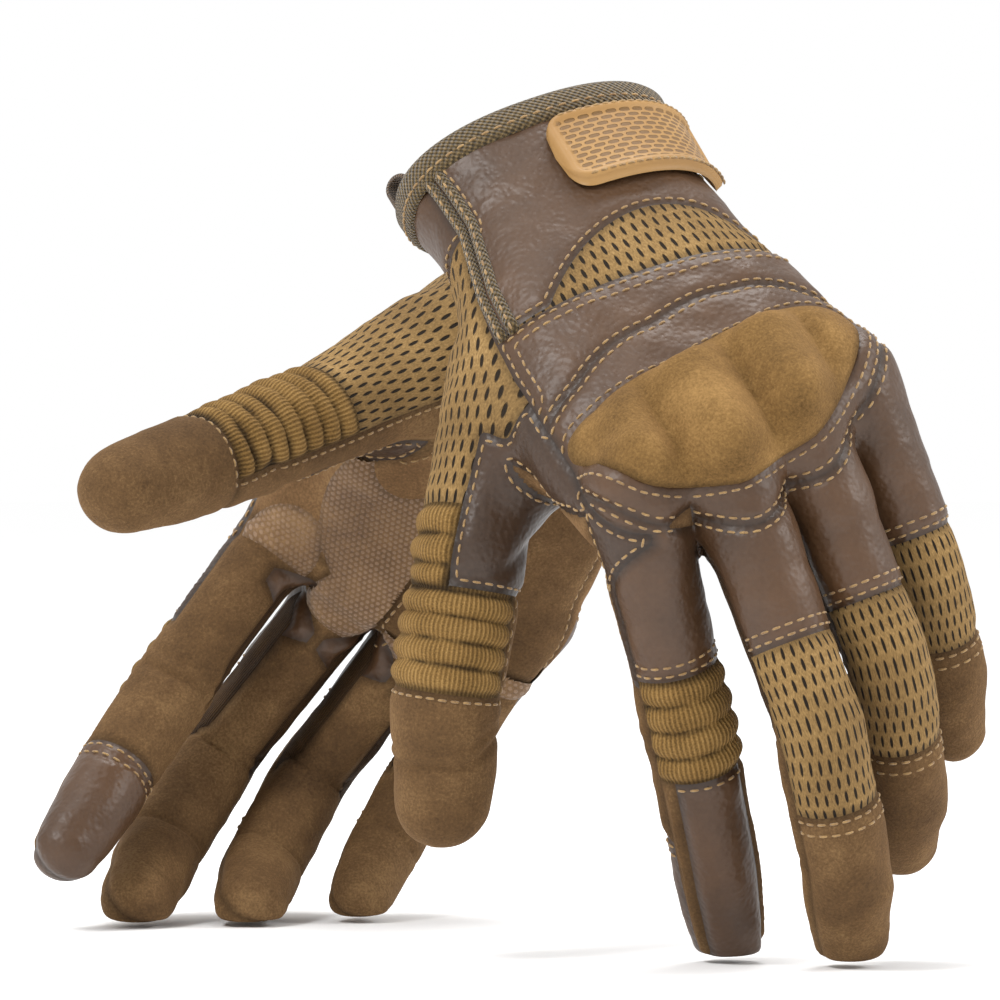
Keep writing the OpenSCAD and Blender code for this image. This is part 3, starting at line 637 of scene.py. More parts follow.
def relief(hand, t, faces, own, label):
    """Height of every vertex above the plain surface."""
    seams = seam_vertices(faces, label)
    near = distances(t[:, :3], t[seams, :3])
    weight = np.zeros(len(t))
    height = np.zeros(len(t))
    owner = np.zeros(len(t), np.int64)
    puff = np.array([PUFF[n] for n in LABELS])[label]
    for k in range(3):
        np.add.at(height, faces[:, k], puff)
        np.add.at(weight, faces[:, k], 1)
        owner[faces[:, k]] = own
    height /= np.maximum(weight, 1)
    lab = np.zeros(len(t), np.int64)
    for k in range(3):
        lab[faces[:, k]] = label
    rise = 1 - np.exp(-(near / 1.9) ** 2)
    h = -0.32 + (height + 0.32) * rise
    h += 0.42 * waves(t[:, :3], 5, 24) * rise - 0.22 * np.abs(waves(t[:, :3], 9, 15)) * rise
    row = np.arange(len(t))
    s = t[row, FS + owner]
    z = t[row, FZ + owner]
    ribs = np.isin(lab, [L["ribs"]])
    h[ribs] += (1.7 * (rib(t[ribs, TS], THUMB_RIBS[0], (THUMB_RIBS[1] - THUMB_RIBS[0]) / 7) - 0.45)
                * np.minimum(1, near[ribs] / 1.5))
    fr = lab == L["frib"]
    h[fr] += (1.5 * (rib(s[fr], SLEEVE_END[0], (KNIT_END[0] - SLEEVE_END[0]) / 4) - 0.45)
              * np.minimum(1, near[fr] / 1.2))
    # Creases where the fingers bend, on the palm side, and at the finger roots.
    for f in range(4):
        tube = hand.tubes[f]
        mine = (owner == f) & (z < 0.1) & (s > 2)
        depth = smooth((0.15 - z) / 0.8)
        for place, deep, wide in ((tube.lengths[0], 1.0, 1.6), (tube.lengths[0] - 5, 0.5, 1.3),
                                  (tube.lengths[0] + MID[f] - 1, 0.8, 1.4), (8.0, 0.9, 1.8)):
            bump = np.exp(-((s - place - 1.2 * np.sin(3 * t[row, FX + owner] + f)) / wide) ** 2)
            h[mine] -= (deep * bump * depth)[mine]
        top = (owner == f) & (z > 0.1) & np.isin(lab, [L["back"]])
        fold = (np.exp(-((s - 30 - 2 * f) / 1.8) ** 2) * 0.25
                + np.exp(-((s - 20 + f) / 2.2) ** 2) * 0.2)
        h[top] -= fold[top]
    return h, near


def hand_point(theta, y, h=0.0):
    """On the hand's plain surface at an angle round it, raised by h."""
    theta, y = np.broadcast_arrays(np.asarray(theta, float), np.asarray(y, float))
    a, m = np.interp(y, AT_Y, HALF_W), np.interp(y, AT_Y, MID_X)
    c, s = np.cos(np.radians(theta)), np.sin(np.radians(theta))
    b = np.where(s > 0, np.interp(y, AT_Y, BACK_D), np.interp(y, AT_Y, PALM_D))
    k = (np.abs(c) ** SQUARE + np.abs(s) ** SQUARE) ** (1 / SQUARE)
    x, z = a * c / k, b * s / k
    nx = np.sign(c) * np.abs(c / k) ** (SQUARE - 1) / a
    nz = np.sign(s) * np.abs(s / k) ** (SQUARE - 1) / b
    n = np.hypot(nx, nz)
    return np.stack([m + x + h * nx / n, y, 1 + z + h * nz / n], -1)


# ---------------------------------------------------------------- materials
def rgb(text):
    v = [int(text[i:i + 2], 16) / 255 for i in (0, 2, 4)]
    return [((c + 0.055) / 1.055) ** 2.4 if c > 0.04 else c / 12.92 for c in v] + [1]


class Shader:
    """Small helper that builds one node material."""

    def __init__(self, name):
        self.mat = bpy.data.materials.new(name)
        self.mat.use_nodes = True
        self.tree = self.mat.node_tree
        self.bsdf = self.tree.nodes["Principled BSDF"]
        self.coord = self.tree.nodes.new("ShaderNodeTexCoord").outputs["Object"]
        self.uv = self.tree.nodes.new("ShaderNodeUVMap")
        self.uv.uv_map = "UVMap"

    def put(self, socket, value):
        if isinstance(value, bpy.types.NodeSocket):
            self.tree.links.new(value, socket)
        else:
            socket.default_value = value

    def set(self, **named):
        for k, v in named.items():
            self.put(self.bsdf.inputs[k.replace("_", " ")], v)

    def math(self, kind, a, b=0.0, c=0.0, clamp=False):
        n = self.tree.nodes.new("ShaderNodeMath")
        n.operation, n.use_clamp = kind, clamp
        for i, v in enumerate((a, b, c)):
            self.put(n.inputs[i], v)
        return n.outputs[0]

    def noise(self, scale, detail=3.0, rough=0.55, vector=None, stretch=None):
        n = self.tree.nodes.new("ShaderNodeTexNoise")
        v = vector or self.coord
        if stretch:
            m = self.tree.nodes.new("ShaderNodeMapping")
            self.put(m.inputs["Vector"], v)
            m.inputs["Scale"].default_value = stretch
            v = m.outputs[0]
        self.put(n.inputs["Vector"], v)
        n.inputs["Scale"].default_value = scale
        n.inputs["Detail"].default_value = detail
        n.inputs["Roughness"].default_value = rough
        return n.outputs["Fac"]

    def cells(self, scale, feature="F1"):
        n = self.tree.nodes.new("ShaderNodeTexVoronoi")
        n.feature = feature
        self.put(n.inputs["Vector"], self.coord)
        n.inputs["Scale"].default_value = scale
        return n.outputs["Distance"]

    def ramp(self, fac, stops):
        n = self.tree.nodes.new("ShaderNodeValToRGB")
        self.put(n.inputs[0], fac)
        e = n.color_ramp.elements
        while len(e) < len(stops):
            e.new(0.5)
        for item, (at, colour) in zip(e, stops):
            item.position, item.color = at, colour
        return n.outputs[0]

    def mix(self, fac, a, b, kind="MIX"):
        n = self.tree.nodes.new("ShaderNodeMix")
        n.data_type, n.blend_type = "RGBA", kind
        self.put(n.inputs[0], fac)
        self.put(n.inputs[6], a)
        self.put(n.inputs[7], b)
        return n.outputs[2]

    def split_uv(self):
        n = self.tree.nodes.new("ShaderNodeSeparateXYZ")
        self.put(n.inputs[0], self.uv.outputs[0])
        return n.outputs[0], n.outputs[1]

    def attribute(self, name):
        n = self.tree.nodes.new("ShaderNodeAttribute")
        n.attribute_name = name
        return n.outputs["Fac"]

    def bump(self, height, strength, distance, normal=None):
        n = self.tree.nodes.new("ShaderNodeBump")
        n.inputs["Strength"].default_value = strength
        n.inputs["Distance"].default_value = distance
        self.put(n.inputs["Height"], height)
        if normal:
            self.put(n.inputs["Normal"], normal)
        return n.outputs[0]

    # Painted shade: darkens the colour towards black near the seams, standing in for the shade that
    # falls in the seam grooves.
    def painted_seam_shade(self, colour, strength=0.5):
        near = self.math("MULTIPLY", self.attribute("seam"), 0.45, clamp=True)
        dark = self.mix(self.math("SUBTRACT", 1.0, near), colour, (0, 0, 0, 1))
        return self.mix(strength, colour, dark)


def leather(name, low, high):
    s = Shader(name)
    tone = s.noise(28, 4, 0.6)
    fine = s.noise(900, 2)
    colour = s.ramp(tone, [(0.28, rgb(low)), (0.75, rgb(high))])
    colour = s.mix(s.math("MULTIPLY", fine, 0.14), colour, rgb("7a5e44"))
    # Painted shade near the seams.
    s.set(Base_Color=s.painted_seam_shade(colour, 0.55))
    s.set(Roughness=s.math("MULTIPLY_ADD", s.noise(120, 3), 0.22, 0.33))
    s.set(Specular_IOR_Level=0.42)
    pebble = s.cells(780, "SMOOTH_F1")
    wrinkle = s.noise(150, 5, 0.6)
    n = s.bump(pebble, 0.42, 0.00045)
    n = s.bump(wrinkle, 0.22, 0.0009, n)
    s.set(Normal=n)
    return s.mat


def suede(name, low, mid, high):
    s = Shader(name)
    patch = s.noise(42, 5, 0.65)
    nap = s.noise(1500, 3, 0.7)
    colour = s.ramp(s.math("MULTIPLY_ADD", nap, 0.42, s.math("MULTIPLY", patch, 0.6)),
                    [(0.32, rgb(low)), (0.52, rgb(mid)), (0.74, rgb(high))])
    # Painted shade near the seams.
    s.set(Base_Color=s.painted_seam_shade(colour, 0.5), Roughness=0.92, Specular_IOR_Level=0.18)
    s.set(Sheen_Weight=0.3, Sheen_Roughness=0.45, Sheen_Tint=rgb("a88050"))
    n = s.bump(nap, 0.55, 0.0005)
    s.set(Normal=s.bump(s.noise(260, 4), 0.22, 0.0008, n))
    return s.mat


def grid_uv(s, wide, high, shifted=True):
    """Place inside a staggered grid cell, from -0.5 to 0.5 each way."""
    u, v = s.split_uv()
    v = s.math("DIVIDE", v, high)
    row = s.math("FLOOR", v)
    half = s.math("MULTIPLY", s.math("MODULO", s.math("ABSOLUTE", row), 2.0),
                  0.5 if shifted else 0.0)
    u = s.math("ADD", s.math("DIVIDE", u, wide), half)
    return s.math("SUBTRACT", s.math("FRACT", u), 0.5), s.math("SUBTRACT", s.math("FRACT", v), 0.5)


def spot(s, u, v, a, b, power=2.0):
    """1 in the middle of an oval of half sizes a and b, falling to 0 at its edge."""
    x = s.math("POWER", s.math("ABSOLUTE", s.math("DIVIDE", u, a)), power)
    y = s.math("POWER", s.math("ABSOLUTE", s.math("DIVIDE", v, b)), power)
    return s.math("SUBTRACT", 1.0, s.math("ADD", x, y), clamp=True)


def slit_knit(name, wide=2.3, high=3.9):
    s = Shader(name)
    u, v = grid_uv(s, wide, high)
    hole = s.math("SMOOTH_MIN", s.math("MULTIPLY", spot(s, u, v, 0.17, 0.43), 2.2), 1.0, 0.2)
    strand = s.noise(1, 3, 0.6, s.uv.outputs[0], (3.2, 1.1, 1))
    tone = s.noise(60, 3)
    colour = s.ramp(s.math("MULTIPLY_ADD", strand, 0.6, s.math("MULTIPLY", tone, 0.4)),
                    [(0.3, rgb("574124")), (0.55, rgb("866a40")), (0.75, rgb("ac8c5c"))])
    # Painted shade: each slit opening is coloured near-black, standing in for the shade inside the
    # holes of the knit.
    colour = s.mix(hole, colour, rgb("170f06"))
    # Painted shade near the seams.
    s.set(Base_Color=s.painted_seam_shade(colour, 0.4), Roughness=0.85, Specular_IOR_Level=0.25)
    s.set(Sheen_Weight=0.15, Sheen_Roughness=0.5, Sheen_Tint=rgb("b08c56"))
    n = s.bump(s.math("SUBTRACT", 1.0, hole), 0.85, 0.0009)
    s.set(Normal=s.bump(strand, 0.4, 0.0004, n))
    return s.mat


def rib_knit(name, low, mid, high, across=1.1):
    s = Shader(name)
    u, _ = s.split_uv()
    wave = s.math("SINE", s.math("MULTIPLY", u, 6.283 / across))
    strand = s.noise(1, 3, 0.6, s.uv.outputs[0], (2.5, 2.5, 1))
    tone = s.noise(90, 4)
    fac = s.math("MULTIPLY_ADD", wave, 0.10,
                 s.math("MULTIPLY_ADD", strand, 0.55, s.math("MULTIPLY", tone, 0.45)))
    colour = s.ramp(fac, [(0.3, rgb(low)), (0.52, rgb(mid)), (0.75, rgb(high))])
    # Painted shade: the colour darkens towards near-black where the 'dip' attribute marks the low
    # troughs between ribs.
    dip = s.math("MULTIPLY", s.attribute("dip"), 0.9, clamp=True)
    colour = s.mix(dip, colour, rgb("1d140a"))
    # Painted shade near the seams.
    s.set(Base_Color=s.painted_seam_shade(colour, 0.4), Roughness=0.9, Specular_IOR_Level=0.2)
    s.set(Sheen_Weight=0.12, Sheen_Tint=rgb(high))
    s.set(Normal=s.bump(s.math("ADD", s.math("MULTIPLY", wave, 0.4), strand), 0.7, 0.0005))
    return s.mat


def grip_print(name):
    s = Shader(name)
    u, v = grid_uv(s, 1.5, 1.3)
    dot = s.math("MULTIPLY", spot(s, u, v, 0.34, 0.34), 3.0, clamp=True)
    patch = s.noise(60, 5, 0.65)
    worn = s.math("MULTIPLY_ADD", s.noise(35, 3), 1.7, -0.35, clamp=True)
    nap = s.noise(1500, 3, 0.7)
    base = s.ramp(s.math("MULTIPLY_ADD", nap, 0.4, s.math("MULTIPLY", patch, 0.6)),
                  [(0.32, rgb("4a3420")), (0.52, rgb("6e5234")), (0.74, rgb("93734c"))])
    gloss = s.math("MULTIPLY", dot, worn)
    colour = s.mix(s.math("MULTIPLY", gloss, 0.75), base, rgb("a0836a"))
    # Painted shade near the edges of the grip print.
    s.set(Base_Color=s.painted_seam_shade(colour, 0.4))
    s.set(Roughness=s.math("MULTIPLY_ADD", gloss, -0.45, 0.85), Specular_IOR_Level=0.4,
          Sheen_Weight=0.2)
    n = s.bump(dot, 0.6, 0.0004)
    s.set(Normal=s.bump(nap, 0.3, 0.0004, n))
    return s.mat


def binding_tape(name, low, mid, high):
    s = Shader(name)
    u, v = s.split_uv()
    twill = s.math("SINE", s.math("MULTIPLY", s.math("ADD", u, v), 6.283 / 1.3))
    cross = s.math("SINE", s.math("MULTIPLY", s.math("SUBTRACT", u, v), 6.283 / 1.6))
    melange = s.noise(1, 4, 0.7, s.uv.outputs[0], (1.6, 0.7, 1))
    fac = s.math("MULTIPLY_ADD", s.math("ADD", twill, cross), 0.10, melange)
    colour = s.ramp(fac, [(0.3, rgb(low)), (0.5, rgb(mid)), (0.72, rgb(high))])
    s.set(Base_Color=colour, Roughness=0.88, Specular_IOR_Level=0.25, Sheen_Weight=0.25)
    s.set(Normal=s.bump(s.math("ADD", twill, cross), 0.6, 0.0004))
    return s.mat


def rubber(name):
    s = Shader(name)
    u, v = grid_uv(s, 2.5, 1.6)
    dash = s.math("MULTIPLY", spot(s, u, v, 0.40, 0.34, 3.0), 2.5, clamp=True)
    dash = s.math("MULTIPLY", dash, s.attribute("window"))
    colour = s.ramp(s.noise(30, 3), [(0.3, rgb("8d6838")), (0.7, rgb("a27c48"))])
    colour = s.mix(s.math("MULTIPLY", dash, 0.8), colour, rgb("5f4424"))
    s.set(Base_Color=colour, Roughness=s.math("MULTIPLY_ADD", s.noise(200, 2), 0.2, 0.42))
    s.set(Specular_IOR_Level=0.4)
    n = s.bump(s.math("SUBTRACT", 1.0, dash), 0.8, 0.0006)
    s.set(Normal=s.bump(s.noise(1200, 2), 0.15, 0.0003, n))
    return s.mat


def plain(name, low, high, scale, rough, bump=0.5, sheen=0.3):
    s = Shader(name)
    f = s.noise(scale, 4, 0.7)
    s.set(Base_Color=s.ramp(f, [(0.3, rgb(low)), (0.7, rgb(high))]), Roughness=rough)
    s.set(Sheen_Weight=sheen, Normal=s.bump(f, bump, 0.0005))
    return s.mat


MATERIAL = {
    "leather": leather("leather_taupe", "332113", "513721"),
    "dark": leather("leather_dark", "24170d", "392516"),
    "suede": suede("suede_tan", "3b2a1a", "5f472d", "876b48"),
    "palm": suede("suede_palm", "46321e", "6d5236", "957651"),
    "guard": suede("suede_guard", "4a351b", "765932", "a07d4c"),
    "knit": slit_knit("slit_knit"),
    "ribs": rib_knit("rib_knit", "4d3819", "7d5f33", "a58450"),
    "fourchette": rib_knit("fourchette_knit", "24170b", "3d2915", "59401f", 0.9),
    "grip": grip_print("grip_print"),
    "tape": binding_tape("binding_tape", "2b210f", "4f3f22", "776340"),
    "tapedark": binding_tape("loop_tape", "2b1e12", "4a3620", "705534"),
    "rubber": rubber("strap_rubber"),
    "thread": plain("thread", "6f5230", "a5844f", 900, 0.7),
    "hook": plain("hook_pile", "120e0a", "2c231a", 1800, 1.0, 0.9),
    "lining": plain("lining", "3b2c1c", "5a452c", 500, 0.95),
}
MATERIAL_OF = {"cuff": "leather", "insert": "knit", "under": "leather", "back": "leather",
               "collar": "leather", "ulnar": "suede", "palm": "palm", "side": "knit", "web": "dark",
               "ribs": "ribs", "thumbpalm": "suede", "thumbtip": "suede", "four": "fourchette",
               "frib": "ribs", "fknit": "knit", "ftop": "leather", "ftip": "suede",
               "fpalm": "suede", "pad": "leather"}


# ---------------------------------------------------------------- building objects
def emit(hand, name, p, faces, material, uv=None, normal=None, seam=None, extra=None):
    """Makes one object of triangles or quads given in the hand frame."""
    p = np.asarray(p, float)
    world = hand.to_world(p)
    low = 0.0008
    world[:, 2] = np.where(world[:, 2] < 0.004, np.maximum(low, 0.004 - (0.004 - low) *
                           (1 - np.exp(-(0.004 - world[:, 2]) / 0.0032))), world[:, 2])
    faces = [tuple(int(i) for i in (f if hand.sign > 0 else f[::-1])) for f in faces]
    mesh = bpy.data.meshes.new(name)
    mesh.from_pydata(world.tolist(), [], faces)
    mesh.materials.append(MATERIAL[material])
    mesh.polygons.foreach_set("use_smooth", np.ones(len(mesh.polygons), bool))
    if uv is not None:
        layer = mesh.uv_layers.new(name="UVMap")
        loops = np.zeros(len(mesh.loops), np.int64)
        mesh.loops.foreach_get("vertex_index", loops)
        layer.data.foreach_set("uv", np.asarray(uv, np.float32)[loops].ravel())
    # The seam attribute is the distance to the nearest seam or edge; the materials use it for
    # painted shade near seams.
    for key, value in (("seam", seam), *((extra or {}).items())):
        if value is not None:
            attribute = mesh.attributes.new(key, "FLOAT", "POINT")
            attribute.data.foreach_set("value", np.asarray(value, np.float32))
    if normal is not None:
        n = np.asarray(normal) @ hand.matrix.T
        mesh.normals_split_custom_set_from_vertices(n.tolist())
    mesh.update()
    obj = bpy.data.objects.new(f"{hand.side}_{name}", mesh)
    bpy.context.scene.collection.objects.link(obj)
    return obj


def attach(hand, obj, zone):
    """Ties a hand-zone piece to the hand body; a finger or thumb piece only has its transform baked
    in.
    """
    side = hand.side
    if zone == 0:
        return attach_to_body(obj, f"{side}_hand")
    if zone < 9:
        f = (zone - 1) // 2
        tube, name = hand.tubes[f], FINGERS[f]
        if zone % 2:
            axis = bend_axis(hand, f)
            a, b = tube.origin + axis * ZONE_BACK, tube.origin + axis * ZONE_AHEAD
            pair = (f"{side}_hand", f"{side}_{name}_root")
        else:
            at = tube.lengths[0]
            a, b = tube.point(at - 9), tube.point(at + 9)
            pair = (f"{side}_{name}_root", f"{side}_{name}_end")
    else:
        at = THUMB_LENGTH[0] + (THUMB_LENGTH[1] if zone == 10 else 0)
        a, b = hand.thumb.point(at - 9), hand.thumb.point(at + 9)
        pair = ((f"{side}_hand", f"{side}_thumb_root") if zone == 9
                else (f"{side}_thumb_root", f"{side}_thumb_end"))
    a, b = hand.to_world(np.array([a, b]))
    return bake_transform(obj, pair[0], pair[1], start=tuple(a), end=tuple(b))


def compact(faces):
    used, back = np.unique(faces, return_inverse=True)
    return used, back.reshape(faces.shape)


def chains(p, faces, phi, level):
    """Polylines where phi equals level on a mesh of triangles."""
    d = phi - level
    s = d > 0
    f = faces[(s[faces].sum(1) % 3) != 0]
    links = {}
    places = {}
    for tri in f.tolist():
        ends = []
        for a, b in ((tri[0], tri[1]), (tri[1], tri[2]), (tri[2], tri[0])):
            if s[a] != s[b]:
                key = (a, b) if a < b else (b, a)
                if key not in places:
                    w = d[key[0]] / (d[key[0]] - d[key[1]])
                    places[key] = p[key[0]] * (1 - w) + p[key[1]] * w
                ends.append(key)
        if len(ends) == 2:
            links.setdefault(ends[0], []).append(ends[1])
            links.setdefault(ends[1], []).append(ends[0])
    lines = []
    left = dict.fromkeys(sorted(links, key=lambda k: (len(links[k]) != 1, k)))
    while left:
        here = next(iter(left))
        line = [here]
        del left[here]
        while True:
            following = [n for n in links[here] if n in left]
            if not following:
                break
            here = following[0]
            del left[here]
            line.append(here)
        if len(line) > 3:
            lines.append(np.array([places[k] for k in line]))
    return lines


STITCH, PITCH, THREAD = 2.2, 2.9, 0.33


def capsules(spots):
    """Small thread stitches: each spot is a middle, a way along and a way up."""
    ring = [(math.cos(t), math.sin(t)) for t in np.arange(6) * math.pi / 3]
    shape = [(-1.0, 0.15), (-0.72, 0.85), (0.0, 1.0), (0.72, 0.85), (1.0, 0.15)]
    points, faces = [], []
    for middle, along, up in spots:
        across = np.cross(along, up)
        base = len(points)
        for u, r in shape:
            sink = -0.28 * (u * u)
            for c, s in ring:
                points.append(middle + along * (u * STITCH / 2) + across * (c * r * THREAD)
                              + up * (s * r * THREAD + sink))
        for k in range(len(shape) - 1):
            for i in range(6):
                j = (i + 1) % 6
                faces.append((base + k * 6 + i, base + k * 6 + j,
                              base + (k + 1) * 6 + j, base + (k + 1) * 6 + i))
        faces.append(tuple(base + 5 - i for i in range(6)))
        faces.append(tuple(base + 24 + i for i in range(6)))
    return np.array(points), faces


def stitches_on(line, tree, normal_at, lift=0.12):
    """Stitches every few millimetres along a line."""
    step = np.linalg.norm(np.diff(line, axis=0), axis=1)
    far = np.concatenate([[0], np.cumsum(step)])
    if far[-1] < 2 * PITCH:
        return []
    count = int(far[-1] // PITCH)
    gap = far[-1] / count
    out = []
    for k in range(count):
        s = (k + 0.5) * gap
        ends = [np.array([np.interp(s + e, far, line[:, i]) for i in range(3)])
                for e in (-1.2, 0, 1.2)]
        along = ends[2] - ends[0]
        size = np.linalg.norm(along)
        if size < 0.8:
            continue
        up = normal_at[tree.find(ends[1])[1]]
        along = along / size
        up = up - along * (up @ along)
        out.append((ends[1] + unit(up) * lift, along, unit(up)))
    return out


def tree_of(points):
    tree = kdtree.KDTree(len(points))
    for i, q in enumerate(points):
        tree.insert(q, i)
    tree.balance()
    return tree


# Rows of stitching: the panel they sit on, the panels across the seam, and how far in.
ROWS = [("back", ("insert", "cuff", "side", "ulnar"), (1.6, 4.4)),
        ("collar", ("back",), (1.8,)), ("back", ("collar",), (1.6,)),
        ("collar", ("guardbed",), (4.6,)),
        ("back", ("fknit", "frib"), (1.6, 4.0)),
        ("cuff", ("insert",), (1.7,)), ("cuff", ("side", "under"), (6.5,)),
        ("web", ("side", "ribs", "back", "thumbpalm", "palm", "fpalm"), (1.7,)),
        ("ftip", ("fknit",), (1.5, 4.2)), ("ftop", ("frib",), (1.6,)),
        ("pad", ("fpalm",), (1.5, 4.0)),
        ("thumbtip", ("ribs",), (1.5,)), ("ulnar", ("palm",), (1.4,)),
        ("palm", ("thumbpalm", "side"), (1.5,)), ("thumbpalm", ("ribs", "side"), (1.4,)),
        ("under", ("palm", "side", "ulnar"), (1.6,))]


def patch(grid, closed_u=False):
    """Faces of a grid of points, rows by columns."""
    rows, cols = grid.shape[:2]
    last = cols if closed_u else cols - 1
    return [(j * cols + i, j * cols + (i + 1) % cols,
             (j + 1) * cols + (i + 1) % cols, (j + 1) * cols + i)
            for j in range(rows - 1) for i in range(last)]


def ground_ray(hand, origin, way, low=4.0, high=48.0):
    """Distance along each ray to the glove's surface."""
    a, b = np.full(len(origin), low), np.full(len(origin), high)
    for _ in range(18):
        m = (a + b) / 2
        inside = whole(hand, origin + way * m[:, None]) < 0
        a, b = np.where(inside, m, a), np.where(inside, b, m)
    return (a + b) / 2


def knuckle_guard(hand):
    rings = np.concatenate([np.linspace(0.02, 0.9, 22), [0.93, 0.955, 0.975, 0.99, 1.0, 1.0]])
    around = np.linspace(0, 2 * math.pi, 120, endpoint=False)
    r, t = np.meshgrid(rings, around, indexing="ij")
    c, s = np.cos(t), np.sin(t)
    fit = r / (np.abs(c) ** GUARD_POWER + np.abs(s) ** GUARD_POWER) ** (1 / GUARD_POWER)
    x = GUARD_X + GUARD_LONG * fit * c
    a = GUARD_A + GUARD_WIDE * fit * s
    y0 = np.interp(x, EDGE_X, EDGE_Y) - 17
    origin = np.stack([x, y0, np.full_like(x, -4.0)], -1).reshape(-1, 3)
    way = np.stack([np.zeros_like(a), np.cos(a), np.sin(a)], -1).reshape(-1, 3)
    ground = ground_ray(hand, origin, way)
    k = np.sqrt(np.maximum(0, 1 - r ** 2.6)).ravel()
    xs = x.ravel()
    domes = np.zeros(len(xs))
    for f in range(4):
        half = (11.0, 11.0, 10.5, 10.0)[f]
        domes = np.maximum(domes, np.maximum(0, 1 - np.abs((xs - KNUCKLES[f, 0]) / half) ** 2))
    fade = smooth((1.02 - r.ravel()) / 0.45)
    rise = 0.9 + 3.2 * k + 6.6 * domes * fade
    rise[-len(around):] = -1.2
    p = origin + way * (ground + rise)[:, None]
    grid = p.reshape(len(rings), len(around), 3)
    faces = [f[::-1] for f in patch(grid, True)]
    faces.append(tuple(range(len(around))))
    q = np.stack([x, a * 24], -1).reshape(-1, 2)
    tri = np.array([f[:3] for f in faces[:-1]] + [(f[0], f[2], f[3]) for f in faces[:-1]])
    n = normals(p, tri)
    if (n[:len(around)] @ np.array([0, 0, 1.0])).mean() < 0:
        faces = [f[::-1] for f in faces]
    obj = emit(hand, "knuckle_guard", p, faces, "guard", uv=q, seam=(1 - r.ravel()) * 30)
    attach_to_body(obj, f"{hand.side}_hand")
    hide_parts(f"{hand.side}_knuckle_guard")


def swept(hand, name, theta, lines, material, closed):
    """A strip swept round the hand: lines holds (place along the hand, height) of its section."""
    grid = np.stack([hand_point(theta, y, h) for y, h in lines], 0)
    faces = patch(grid, closed)
    p = grid.reshape(-1, 3)
    girth = np.radians(theta) * 30
    run = np.concatenate([[0], np.cumsum([math.dist(a, b) for a, b in zip(lines, lines[1:])])])
    uv = np.stack(np.meshgrid(girth, run), -1).reshape(-1, 2)
    return emit(hand, name, p, outward(p, faces), material, uv=uv)


def outward(p, faces):
    """Turns the faces so that they look away from the middle of the hand."""
    f = np.array([q[:3] for q in faces])
    n = np.cross(p[f[:, 1]] - p[f[:, 0]], p[f[:, 2]] - p[f[:, 0]])
    m = p[f].mean(1) - np.array([0, 0, 1.0])
    m[:, 1] = 0
    return faces if (n * m).sum() > 0 else [q[::-1] for q in faces]


# Seam places round the cuff: the slit's two edges by angle, the binding's seam by place.
SLIT_EDGES = (33.5, 40.5)
BINDING_SEAM = -19.4


def cuff_trim(hand):
    side = hand.side
    theta = np.linspace(0, 360, 181)[:-1]
    outer = [(-16.8, 0.45), (-17.0, 1.2), (-18.2, 1.65), (-21.0, 1.75), (-23.6, 1.6),
             (-24.7, 1.0), (-25.1, 0.0)]
    inner = [(-25.0, -1.2), (-24.4, -2.4), (-22.0, -2.9), (-18.0, -2.9), (-17.6, -2.0)]
    ring = swept(hand, "cuff_binding", theta, outer + inner, "tape", True)
    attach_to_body(ring, f"{side}_hand")
    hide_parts(f"{side}_cuff_binding")
    along = np.linspace(-22, BACK_FROM + 1, 60)
    prof = [(-3.1, 0.1), (-2.9, 0.9), (-1.9, 1.45), (0, 1.65), (1.9, 1.45), (2.9, 0.9),
            (3.1, 0.1)]
    tuck = smooth((BACK_FROM + 1 - along) / 3)
    for k, middle in enumerate(SLIT_EDGES):
        grid = np.stack([hand_point(middle + a, along, h * tuck - 0.5 * (1 - tuck))
                         for a, h in prof], 0)
        uv = np.stack(np.meshgrid(along, np.arange(len(prof)) * 1.0), -1).reshape(-1, 2)
        p = grid.reshape(-1, 3)
        strip = emit(hand, f"slit_binding_{k + 1}", p, outward(p, patch(grid)), "tape", uv=uv)
        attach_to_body(strip, f"{side}_hand")
    spots = []
    for t in np.arange(0, 360, 5.6):
        q = hand_point([t, t + 1], BINDING_SEAM, 1.8)
        up = unit(hand_point(t, BINDING_SEAM, 3.0) - q[0])
        spots.append((q[0], unit(q[1] - q[0]), up))
    for middle in SLIT_EDGES:
        for y in np.arange(-16, BACK_FROM, PITCH):
            q = hand_point(middle, [y, y + 1], 1.6)
            up = unit(hand_point(middle, y, 3.0) - q[0])
            spots.append((q[0], unit(q[1] - q[0]), up))
    p, faces = capsules(spots)
    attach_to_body(emit(hand, "binding_stitches", p, faces, "thread"), f"{side}_hand")


# The wrist tab: its ends by angle, its middle and half width, and its rounded corners.
TAB_FROM = 86
TAB_TO = 170
TAB_MIDDLE = -4.2
TAB_HALF = 11.6
TAB_CORNER = 0.15
TAB_POWER = 2.6


